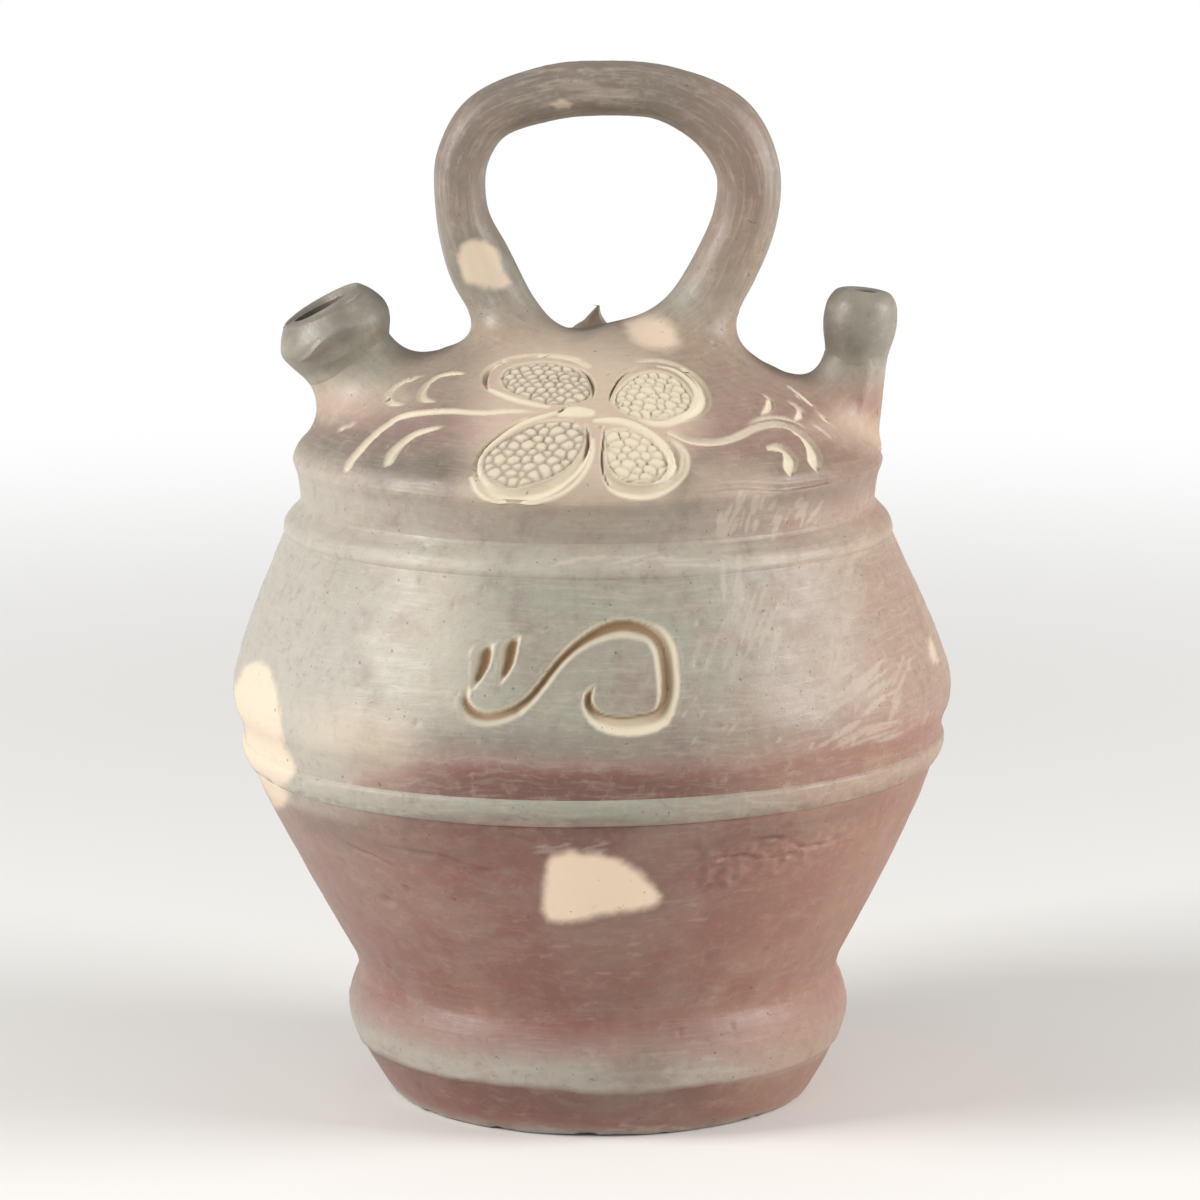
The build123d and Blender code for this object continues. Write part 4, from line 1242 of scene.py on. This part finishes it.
def make_dome():
    brow = rounded(brow_line, 0.5 * MM)
    crown_reach, inner_reach = 20 * MM, 73.6 * MM
    outer_reaches = np.linspace(brow[-1, 0], crown_reach, 124)[1:]
    reaches = np.concatenate([outer_reaches, np.linspace(crown_reach, 0, 20)[1:]])
    cap = np.stack([reaches, dome_height(reaches)], -1)
    inner_sphere = dome_sphere - wall
    steps = np.linspace(0, inner_reach, 14)
    hollow = np.stack([steps, dome_centre + np.sqrt(inner_sphere**2 - steps**2)], -1)
    foot = np.array(((73.6, 177.0),)) * MM
    chain = np.concatenate([hollow, foot, brow, cap])
    return thrown_piece(
        "thrown_dome", chain, False, 328, 112, carving=carve_dome, drawn=True, fine=dome_half_turn
    )


def make_handle():
    """The pulled bar of the ring handle, with the drag of wet fingers along it."""
    around, rows = 72, 330
    bm, turn, along = tube_grid(around, rows, False)
    where = (len(loop_curve) - 1.0) * np.clip((along * (rows + 2) - 1) / rows, 0, 1)
    index = np.arange(len(loop_curve))
    centre = np.stack([np.interp(where, index, loop_curve[:, axis]) for axis in (0, 1)], -1)
    thickness = np.interp(where, index, loop_curve[:, 2])
    tangent = np.stack([np.interp(where, index, loop_tangents[:, axis]) for axis in (0, 1)], -1)
    depth = np.interp(where, index, loop_depths)
    cosine, sine = np.cos(TURN * turn), np.sin(TURN * turn)
    power = 2 / section_power
    across = np.sign(cosine) * np.abs(cosine) ** power * thickness
    front = np.sign(sine) * np.abs(sine) ** power * depth
    caps = (along < 0.5 / rows) | (along > 1 - 0.5 / rows)
    across[caps], front[caps] = 0, 0
    x, z = centre[:, 0] + across * tangent[:, 1], centre[:, 1] - across * tangent[:, 0]
    places = np.stack([x, front, z], -1)
    piece = link_mesh(set_places(bm, places), "pulled_handle")
    places = vertex_data(piece)[0]
    place_vertices(piece, draw_in(places, ("handle_root_mouth_side", "handle_root_spout_side")))
    found, across = loop_nearest(places)
    drag_stretch = 0.09
    drag = np.stack([across, places[:, 1], found * 0.5 * MM * drag_stretch], -1)
    add_drag(piece, drag)

    def streaks(places, normals):
        facet = np.exp(-((((across + 3.4 * MM) / (1.6 * MM)) ** 2))) * (places[:, 1] < 0)
        dragged = 0.16 * MM * noise(drag, 2.8 * MM, 31) + 0.09 * MM * noise(drag, 1.2 * MM, 32)
        return dragged + 0.3 * MM * facet * smooth_step(225 * MM, 240 * MM, places[:, 2])

    return finish_by_hand(piece, streaks)


def add_drag(piece, drag):
    """Keeps the direction in which fingers dragged the clay, for the piece's material."""
    attribute = piece.data.attributes.new("drag", "FLOAT_VECTOR", "POINT")
    attribute.data.foreach_set("vector", drag.astype(np.float32).ravel())


def luting_coil(name, joint):
    """Closed sleeve of soft clay over the joint of a neck or a leg with the dome."""
    around, rows, outer_share = 128, 96, 0.75
    bm, turn, round_section = tube_grid(around, rows, True)
    outer = round_section < outer_share
    rise = np.where(outer, round_section / outer_share, (1 - round_section) / (1 - outer_share))
    angle = TURN * turn
    direction = np.cos(angle)[:, None] * joint.sideways + np.sin(angle)[:, None] * joint.ahead
    size = joint.size[0] * np.cos(angle) ** 2 + joint.size[1] * np.sin(angle) ** 2
    edge = joint.foot + direction * size[:, None]
    low, high = joint.rims(edge, direction)
    places = edge + (low - edge) * ((1 - rise) ** 2)[:, None] + (high - edge) * (rise**2)[:, None]
    places, outward = settle(places, 14)
    ends = np.minimum(rise, 1 - rise)
    proud = -0.22 * MM + 0.25 * MM * smooth_step(0.0, 0.16, ends)
    hidden = -0.24 * MM - 1.1 * MM * smooth_step(0.0, 0.25, ends)
    places = places + outward * np.where(outer, proud, hidden)[:, None]
    piece = link_mesh(set_places(bm, places), name)
    return finish_by_hand(piece, carving_relief(piece, carve_dome))


def on_axis(tip, leaning):
    """Matrix that stands a turned shape on a leaning axis, with its height measured up from the tip."""
    return Matrix.Translation(Vector(tip)) @ Matrix.Rotation(leaning, 4, "Y")


def neck_piece(name, outline, tip, leaning, steps, joint=None, relief=None):
    """A turned piece on the mouth's or the spout's axis, worked by hand."""
    bm = turned(np.asarray(outline), True, math.pi / 2, steps, steps)
    bmesh.ops.transform(bm, matrix=on_axis(tip, leaning), verts=bm.verts)
    piece = link_mesh(bm, name)
    if joint:
        place_vertices(piece, draw_in(vertex_data(piece)[0], (joint,)))
        relief = carving_relief(piece, carve_stems)
    return finish_by_hand(piece, relief)


def make_mouth_neck():
    outline = rounded(((8.8, -2, 0), (12.6, -2, 0), (12.6, -39, 0), (8.8, -39, 0)), 1.0 * MM)
    return neck_piece("mouth_neck_tube", outline, mouth_tip, mouth_lean, 64, "mouth_coil")


# Ring-shaped ends, as radius, height from the tip, and rounding
collar_outline = (
    (8.8, -2.4, 0), (9.2, -1.6, 0.6), (10.3, -0.35, 0.4), (10.9, 0, 0.3), (11.6, -0.5, 0.4),
    (13.8, -3.2, 2), (15.7, -7.0, 2.5), (16.0, -9.6, 2.5), (15.3, -12.8, 2), (14.1, -15.4, 1.6),
    (13.2, -17.4, 1.4), (12.7, -19.6, 0.5), (12.3, -19.4, 0), (12.3, -3.0, 0), (9.2, -3.0, 0),
)
bulb_outline = (
    (2.4, -8, 0), (2.4, -1.6, 0.4), (3.6, -0.5, 0.6), (5.2, -0.1, 0.8), (7.6, -0.7, 1.5),
    (9.6, -3.6, 2.5), (10.35, -8.4, 3), (9.9, -12.6, 2.5), (9.2, -15.4, 1.6), (8.75, -17.6, 1.6),
    (8.58, -20.4, 0.5), (8.2, -20.2, 0), (8.2, -16.4, 0), (6.7, -16.4, 0), (6.7, -12, 0),
    (4.2, -12, 0), (2.4, -9, 0),
)


def make_mouth_rim():
    outline = rounded(collar_outline, 0.45 * MM)
    out = axis_out(mouth_lean)
    across_axis = np.array((out[2], 0, -out[0]))

    def pressed(places, normals):
        offset = places - mouth_tip
        drop, across = -(offset @ out), offset @ across_axis
        thumbed, _ = carve(places, normals, collar_distance, collar_hollows, 0.6, 0.1)
        ridge, _ = raise_lips(places, normals, collar_distance, collar_ridges)
        faded = smooth_step(0, 9 * MM, across) * smooth_step(10 * MM, 17 * MM, drop)
        return ridge + thumbed - 0.6 * MM * faded

    piece = neck_piece("mouth_collar", outline, mouth_tip, mouth_lean, 104, relief=pressed)
    places = vertex_data(piece)[0]
    offset = places - mouth_tip
    along, across = offset @ out, offset @ across_axis
    droop = 0.07 * (across - 10 * MM) + 0.07 * (places[:, 1] - 10.9 * MM) + 0.6 * MM
    places[:, 2] += droop * smooth_step(-14 * MM, -2 * MM, along)
    place_vertices(piece, places)
    return piece


def make_spout_neck():
    outline = rounded(
        ((4.2, -12, 0), (6.6, -12, 0), (6.6, -16.2, 0), (8.5, -16.6, 0.3), (8.5, -43, 0), (4.2, -43, 0)),
        0.8 * MM,
    )
    return neck_piece("spout_neck_tube", outline, spout_tip, spout_lean, 48, "spout_coil")


def make_spout_tip():
    outline = rounded(bulb_outline, 0.4 * MM)

    def worn(places, normals):
        offset = places - spout_tip
        front = smooth_step(0, -5 * MM, places[:, 1])
        aside, down = offset[:, 0] / (4.2 * MM), (offset[:, 2] + 1.6 * MM) / (1.0 * MM)
        dent = np.exp(-(aside**2) - down**2)
        return -0.5 * MM * dent * front + 0.12 * MM * noise(places, 6 * MM, 22)

    return neck_piece("spout_bulb", outline, spout_tip, spout_lean, 80, relief=worn)


def make_crown_leaf():
    """Pinched point of clay behind the handle's foot."""
    low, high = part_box("crown_leaf")
    bm, turn, along = tube_grid(40, 26, False)
    spread = (1 - along) ** 1.5
    angle = TURN * turn
    half_width, half_depth, height = 11.0 * MM, 5.0 * MM, 9.8 * MM
    tip_half_width, tip_half_depth = 0.25 * MM, 0.4 * MM
    foot_aside, bend = 2.6 * MM, 3.6 * MM
    foot_depth, foot_reach = 4.2 * MM, 24 * MM
    middle_x, middle_y = (low.x + high.x) / 2, (low.y + high.y) / 2
    x = middle_x - foot_aside + np.cos(angle) * (tip_half_width + half_width * spread) + bend * along**1.5
    y = middle_y + np.sin(angle) * (tip_half_depth + half_depth * spread)
    foot = dome_height(np.hypot(x, y)) - foot_depth
    z = foot + height * along
    caps = (along < 0.01) | (along > 0.99)
    x[caps] = x[caps].mean()
    x[along > 0.99] = x[along > 0.99].mean()
    x[along < 0.01] = middle_x
    y[caps] = middle_y
    z[along < 0.01] = dome_height(foot_reach) - foot_depth + 0.5 * MM
    z[along > 0.99] = z[along > 0.99].mean()
    piece = link_mesh(set_places(bm, np.stack([x, y, z], -1)), "pinched_leaf")
    return finish_by_hand(piece, lambda places, normals: 0.22 * MM * noise(places, 2.4 * MM, 23))


def tone(red, green, blue):
    """Colour of the clay, from 0 to 255 as it shows in even light."""
    shares = [value / 255 for value in (red, green, blue)]
    return tuple(s / 12.92 if s <= 0.04045 else ((s + 0.055) / 1.055) ** 2.4 for s in shares) + (1.0,)


class Finish:
    """Short hand for a material's nodes: each call adds one node and returns its first output."""

    def __init__(self, name):
        self.material = bpy.data.materials.new(name)
        self.material.use_nodes = True
        self.nodes = self.material.node_tree.nodes
        self.links = self.material.node_tree.links
        self.nodes.clear()

    def add(self, kind, inputs=(), output=0, **settings):
        node = self.nodes.new(kind)
        for name, value in settings.items():
            setattr(node, name, value)
        for key, value in dict(inputs).items():
            if isinstance(value, bpy.types.NodeSocket):
                self.links.new(value, node.inputs[key])
            else:
                node.inputs[key].default_value = value
        return node.outputs[output] if len(node.outputs) else None

    def maths(self, operation, first, second=0.0, third=0.0):
        return self.add("ShaderNodeMath", {0: first, 1: second, 2: third}, operation=operation)

    def noise(self, vector, scale, detail=3.0, roughness=0.55):
        inputs = {"Vector": vector, "Scale": scale, "Detail": detail, "Roughness": roughness}
        return self.add("ShaderNodeTexNoise", inputs)

    def span(self, value, low, high, to_low=0.0, to_high=1.0):
        return self.add(
            "ShaderNodeMapRange",
            {"Value": value, "From Min": low, "From Max": high, "To Min": to_low, "To Max": to_high},
            interpolation_type="SMOOTHSTEP",
        )

    def mix(self, share, first, second):
        return self.add("ShaderNodeMix", {0: share, 6: first, 7: second}, output=2, data_type="RGBA")

    def blend(self, colour, share, strength, other):
        """Lays another colour over a colour, at most as strongly as said."""
        return self.mix(self.maths("MULTIPLY", share, strength), colour, other)

    def stops(self, value, stops):
        """Colours that follow one another along a value."""
        ramp = self.nodes.new("ShaderNodeValToRGB")
        self.links.new(value, ramp.inputs[0])
        elements = ramp.color_ramp.elements
        while len(elements) < len(stops):
            elements.new(0.5)
        for element, (place, colour) in zip(elements, stops):
            element.position = place
            element.color = colour
        return ramp.outputs[0]


# Colours of the clay, named for what the smoking left; some are also laid on as painted shade, painted
# highlight and painted reflection
green_grey = tone(156, 153, 138)
cool_grey = tone(138, 131, 119)
warm_grey = tone(158, 140, 122)
mauve_grey = tone(150, 124, 114)
rose_brown = tone(132, 88, 77)
shaded_rose = tone(116, 80, 69)
dark_grey = tone(114, 99, 88)
light_grey = tone(168, 161, 150)
dusty = tone(204, 190, 172)
painted_sheen_grey = tone(194, 189, 179)
flush_and_reflection = tone(170, 126, 104)
band_grey = tone(156, 146, 132)
bead_grey = tone(172, 167, 152)
handle_grey = tone(125, 113, 102)
shadow_grey = tone(120, 110, 97)
buff = tone(243, 220, 193)
cream = tone(230, 217, 190)
ochre = tone(128, 92, 50)
soot_and_shade = tone(78, 70, 62)

# Colour by height in millimetres, on each kind of piece
# Painted shade: the darkest rose, under the foot band and under the cordon; the rose of the lower wall is
# partly the clay's own and partly a painted reddish reflection
lower_zones = (
    (0, light_grey), (1.6, mauve_grey), (4, rose_brown), (13.5, shaded_rose), (14.8, shaded_rose),
    (15.6, light_grey), (20, light_grey), (26, mauve_grey), (33, rose_brown), (60, rose_brown),
    (84, rose_brown), (91, shaded_rose),
)
cordon_zones = ((93, mauve_grey), (95, cool_grey), (97, green_grey), (101, green_grey))
# The dark rose above the seam is partly the clay's own tint and partly painted shade and painted reddish
# reflection under the belly's bulge
upper_zones = (
    (101, shaded_rose), (105, shaded_rose), (108, rose_brown), (111, mauve_grey),
    (116, cool_grey), (124, green_grey), (148, green_grey), (158, green_grey),
)
crown_zones = (
    (158, bead_grey), (162, bead_grey), (167, band_grey), (175, band_grey), (178.5, warm_grey),
    (183, shadow_grey), (192, mauve_grey), (203, warm_grey), (213, warm_grey), (222, green_grey),
    (236, cool_grey), (250, handle_grey), (290, handle_grey),
)
collar_zones = ((198, cool_grey), (212, cool_grey), (226, cool_grey))
zone_top = 300                # millimetres that the scale of heights covers

# Cool grey near each tip: the tip, its lean, how far down it reaches and its side of the jug
cool_ends = ((mouth_tip, mouth_lean, 19 * MM, -1), (spout_tip, spout_lean, 21 * MM, 1))


def smoked_clay(name, zones, flecks=0.2, brushed=0.2, dragged=False):
    """Burnished smoked clay: colour by height, bare patches, grit, brush lines and a satin sheen, with
    painted light in places.
    """
    finish = Finish(name)
    place = finish.add("ShaderNodeTexCoord", output=3)
    x, y, z = (finish.add("ShaderNodeSeparateXYZ", {0: place}, output=k) for k in range(3))
    broad = finish.noise(place, 24, 4.0, 0.6)
    cloud = finish.noise(place, 80, 5.0, 0.65)
    mottle = finish.noise(place, 300, 5.0, 0.7)
    fine = finish.noise(place, 1400, 3.0, 0.65)
    squares = finish.maths("ADD", finish.maths("MULTIPLY", x, x), finish.maths("MULTIPLY", y, y))
    fall = finish.maths("SUBTRACT", z, finish.maths("SQRT", squares))
    fall = finish.maths("MULTIPLY_ADD", broad, 9 * MM, fall)
    slow_x, slow_y = (finish.maths("MULTIPLY", value, 0.1) for value in (x, y))
    run = finish.add("ShaderNodeCombineXYZ", {0: slow_x, 1: slow_y, 2: fall})
    if dragged:
        run = finish.add("ShaderNodeAttribute", output=1, attribute_name="drag")
    brush = finish.noise(run, 900, 5.0, 0.65)
    aside = finish.maths("MULTIPLY_ADD", broad, 40 * MM, finish.maths("ADD", x, -20 * MM))
    left = finish.span(aside, -36 * MM, -92 * MM)
    wander = finish.maths("MULTIPLY_ADD", broad, 8 * MM, -4 * MM)
    # Painted highlight: on the left the colour bands are lifted, so the belly's lower bands show paler
    # where the left lamp falls
    lifted = finish.maths("MULTIPLY", finish.span(z, 84 * MM, 98 * MM), finish.span(z, 142 * MM, 120 * MM))
    wander = finish.maths("MULTIPLY_ADD", finish.maths("MULTIPLY", lifted, left), 22 * MM, wander)
    level = finish.maths("ADD", z, wander)
    share = finish.maths("DIVIDE", level, zone_top * MM)
    colour = finish.stops(share, [(height / zone_top, shade) for height, shade in zones])
    colour = finish.blend(colour, finish.span(broad, 0.45, 0.62), 0.3, warm_grey)
    colour = finish.blend(colour, finish.span(cloud, 0.48, 0.66), 0.3, mauve_grey)
    clouded = finish.span(finish.noise(place, 40, 5.0, 0.65), 0.52, 0.7)
    colour = finish.blend(colour, clouded, 0.3, dark_grey)
    # Warmer towards the right: partly the clay's own flush and partly a painted reddish reflection
    colour = finish.blend(colour, finish.span(aside, 8 * MM, 88 * MM), 0.56, flush_and_reflection)
    # Painted highlight: a light grey sheen on the left side where the left lamp falls, stronger from the
    # cordon up to the brow
    below_dome = finish.maths("MULTIPLY", left, finish.span(level, 188 * MM, 176 * MM))
    colour = finish.blend(colour, below_dome, 0.22, painted_sheen_grey)
    beside_belly = finish.maths("MULTIPLY", below_dome, finish.span(level, 88 * MM, 98 * MM))
    colour = finish.blend(colour, beside_belly, 0.4, painted_sheen_grey)
    at_necks = finish.span(finish.maths("ABSOLUTE", finish.maths("ADD", x, -3 * MM)), 46 * MM, 62 * MM)
    at_necks = finish.maths("MULTIPLY", at_necks, finish.span(level, 190 * MM, 205 * MM))
    colour = finish.blend(colour, at_necks, 0.85, green_grey)
    for tip, leaning, low_edge, side in cool_ends:
        out = axis_out(leaning)
        along = finish.add("ShaderNodeVectorMath", {0: place, 1: out}, output=1, operation="DOT_PRODUCT")
        up_to_tip = finish.span(along, float(tip @ out) - low_edge, float(tip @ out) - low_edge + 5 * MM)
        on_side = finish.span(finish.maths("MULTIPLY", x, side), 44 * MM, 52 * MM)
        colour = finish.blend(colour, finish.maths("MULTIPLY", up_to_tip, on_side), 0.8, cool_grey)
    colour = finish.blend(colour, finish.span(brush, 0.48, 0.66), brushed, dusty)
    colour = finish.blend(colour, finish.span(mottle, 0.5, 0.72), flecks, dusty)
    colour = finish.blend(colour, finish.span(mottle, 0.48, 0.3), 0.3, dark_grey)
    # From the marks on the vertices: pale patches, one a painted highlight; pale streaks; dark blotches,
    # some painted shade, and painted shade inside the channels
    smoke_and_painted_light = finish.add("ShaderNodeAttribute", output=0, attribute_name="smoke_and_painted_light")
    patch, streak, dark = (finish.add("ShaderNodeSeparateColor", {0: smoke_and_painted_light}, output=k) for k in range(3))
    colour = finish.blend(colour, streak, 0.75, dusty)
    colour = finish.blend(colour, dark, 0.85, soot_and_shade)
    colour = finish.blend(colour, patch, 1.0, buff)
    carving = finish.add("ShaderNodeAttribute", output=0, attribute_name="carving")
    bare, pale, painted_carved_shade = (finish.add("ShaderNodeSeparateColor", {0: carving}, output=k) for k in range(3))
    colour = finish.blend(colour, pale, 0.9, cream)
    # Painted shade in the carving's steep walls and between the pebbles
    colour = finish.blend(colour, painted_carved_shade, 0.7, dark_grey)
    colour = finish.blend(colour, bare, 0.85, ochre)
    grit = finish.span(finish.noise(place, 620, 2.0, 0.5), 0.70, 0.76)
    colour = finish.blend(colour, grit, 0.5, soot_and_shade)
    dry = finish.maths("MAXIMUM", finish.maths("MAXIMUM", patch, streak), pale)
    worn = finish.maths("ADD", finish.maths("MULTIPLY", cloud, 0.5), finish.maths("MULTIPLY", brush, 0.5))
    roughness = finish.span(worn, 0.35, 0.65, 0.36, 0.58)
    roughness = finish.maths("MULTIPLY_ADD", dry, 0.25, roughness)
    lined = 0.9 if brushed else 0.1
    brush_lines = finish.maths("MULTIPLY", brush, lined)
    relief = finish.maths("ADD", brush_lines, finish.maths("MULTIPLY", fine, 0.6))
    relief = finish.maths("SUBTRACT", relief, finish.maths("MULTIPLY", grit, 0.8))
    relief = finish.maths("ADD", relief, finish.maths("MULTIPLY", mottle, 0.7))
    relief = finish.maths("ADD", relief, finish.maths("MULTIPLY", streak, 0.5))
    bump = finish.add("ShaderNodeBump", {"Strength": 0.6, "Distance": 0.16 * MM, "Height": relief})
    shader = finish.add(
        "ShaderNodeBsdfPrincipled",
        {"Base Color": colour, "Roughness": roughness, "Normal": bump, "Specular IOR Level": 0.55},
    )
    finish.add("ShaderNodeOutputMaterial", {"Surface": shader})
    return finish.material


def fit_piece(piece, node, material):
    """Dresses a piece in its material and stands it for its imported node."""
    piece.data.materials.append(material)
    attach(piece, "root")
    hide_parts(node)


def pierce(piece, tip, leaning, radius, length):
    """Cuts a round channel on a leaning axis out of a piece."""
    bm = bmesh.new()
    bmesh.ops.create_cone(bm, cap_ends=True, segments=64, radius1=radius, radius2=radius, depth=length)
    bmesh.ops.translate(bm, vec=(0, 0, -length / 2), verts=bm.verts)
    bmesh.ops.transform(bm, matrix=on_axis(tip, leaning), verts=bm.verts)
    cutter = link_mesh(bm, "channel_cutter")
    cut = piece.modifiers.new("channel", "BOOLEAN")
    cut.operation = "DIFFERENCE"
    cut.solver = "EXACT"
    cut.object = cutter
    bpy.context.view_layer.update()
    result = bpy.data.meshes.new_from_object(piece.evaluated_get(bpy.context.evaluated_depsgraph_get()))
    piece.modifiers.clear()
    piece.data = result
    bpy.data.objects.remove(cutter)


def build_jug():
    """Every piece of the jug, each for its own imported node."""
    dome = make_dome()
    channel_length = 60 * MM
    pierce(dome, mouth_tip, mouth_lean, mouth_bore_radius, channel_length)
    pierce(dome, spout_tip, spout_lean, spout_bore_radius, channel_length)
    lower = smoked_clay("lower_clay", lower_zones, flecks=0.1, brushed=0.08)
    cordon = smoked_clay("cordon_clay", cordon_zones)
    upper = smoked_clay("upper_clay", upper_zones, brushed=0.16)
    crown = smoked_clay("crown_clay", crown_zones, brushed=0.12)
    collar = smoked_clay("collar_clay", collar_zones, brushed=0.0)
    pulled = smoked_clay("pulled_clay", crown_zones, brushed=0.22, dragged=True)
    fit_piece(make_lower_body(), "lower_body", lower)
    for (node, *ring), clay in zip(rings, (cordon, upper, crown, crown)):
        fit_piece(make_ring(*ring), node, clay)
    fit_piece(dome, "dome", crown)
    fit_piece(make_handle(), "handle", pulled)
    fit_piece(make_mouth_neck(), "mouth_neck", crown)
    fit_piece(make_mouth_rim(), "mouth_rim", collar)
    fit_piece(make_spout_neck(), "spout_neck", crown)
    fit_piece(make_spout_tip(), "spout_tip", collar)
    for node, joint in joints.items():
        fit_piece(luting_coil(f"smoothed_{node}", joint), node, crown)
    fit_piece(make_crown_leaf(), "crown_leaf", crown)


def lamp(name, place, size, power):
    """Soft square lamp that faces the jug."""
    data = bpy.data.lights.new(name, "AREA")
    data.shape = "SQUARE"
    data.size = size
    data.energy = power
    lamp_object = bpy.data.objects.new(name, data)
    lamp_object.location = place
    lamp_object.rotation_euler = (Vector(lamp_target) - Vector(place)).to_track_quat("-Z", "Y").to_euler()
    bpy.context.scene.collection.objects.link(lamp_object)


lamp_target = (0, 0, 0.13)
# Lamps: name, place, edge in metres and power in watts
lamps = (("lamp_left", (-1.42, -0.5, 0.95), 0.75, 27), ("lamp_right", (1.4, -0.28, 0.72), 0.8, 21))
world_light = 0.36
floor_half_size = 30
floor_fade = (0.35, 1.3)      # the floor shows its own shade nearer than this, and plain white beyond


def make_floor():
    """Pale floor that keeps the shadow, and shows white far behind the object."""
    bm = bmesh.new()
    bmesh.ops.create_grid(bm, x_segments=1, y_segments=1, size=floor_half_size)
    floor = link_mesh(bm, "pale_floor")
    finish = Finish("pale_floor")
    place = finish.add("ShaderNodeTexCoord", output=3)
    distance = finish.add("ShaderNodeVectorMath", {0: place}, output=1, operation="LENGTH")
    away = finish.span(distance, *floor_fade)
    ray = finish.add("ShaderNodeLightPath").node
    shown = finish.maths("MAXIMUM", ray.outputs["Is Camera Ray"], ray.outputs["Is Glossy Ray"])
    shown = finish.maths("MAXIMUM", shown, ray.outputs["Is Transmission Ray"])
    white = finish.add("ShaderNodeEmission", {"Color": (1, 1, 1, 1), "Strength": 1.0})
    lit = finish.add("ShaderNodeBsdfPrincipled", {"Base Color": tone(236, 234, 230), "Roughness": 0.85})
    whitened = finish.maths("MULTIPLY", away, shown)
    mixed = finish.add("ShaderNodeMixShader", {0: whitened, 1: lit, 2: white})
    finish.add("ShaderNodeOutputMaterial", {"Surface": mixed})
    floor.data.materials.append(finish.material)


def make_world():
    """Even light from all round, which shows as white."""
    world = bpy.data.worlds.new("studio")
    world.use_nodes = True
    nodes, links = world.node_tree.nodes, world.node_tree.links
    path = nodes.new("ShaderNodeLightPath")
    shown, strength = nodes.new("ShaderNodeMath"), nodes.new("ShaderNodeMath")
    shown.operation = "MAXIMUM"
    links.new(path.outputs["Is Camera Ray"], shown.inputs[0])
    links.new(path.outputs["Is Transmission Ray"], shown.inputs[1])
    strength.operation = "MULTIPLY_ADD"
    links.new(shown.outputs[0], strength.inputs[0])
    strength.inputs[1].default_value = 1 - world_light
    strength.inputs[2].default_value = world_light
    links.new(strength.outputs[0], nodes["Background"].inputs["Strength"])
    nodes["Background"].inputs["Color"].default_value = (1, 1, 1, 1)
    bpy.context.scene.world = world


def make_camera():
    """Camera at the photograph's place, angle and width."""
    data = bpy.data.cameras.new("camera")
    data.sensor_width = sensor_width
    data.lens = focal_pixels / frame_pixels * sensor_width
    data.clip_end = 100
    camera = bpy.data.objects.new("camera", data)
    camera.location = (camera_aside, -camera_back, camera_height)
    camera.rotation_euler = (math.pi / 2 - camera_pitch, 0, 0)
    bpy.context.scene.collection.objects.link(camera)
    bpy.context.scene.camera = camera


def build_stage():
    """Pale floor, even world, two soft lamps and the camera."""
    make_floor()
    make_world()
    for row in lamps:
        lamp(*row)
    make_camera()
    bpy.context.scene.view_settings.view_transform = "Standard"


build_jug()
build_stage()
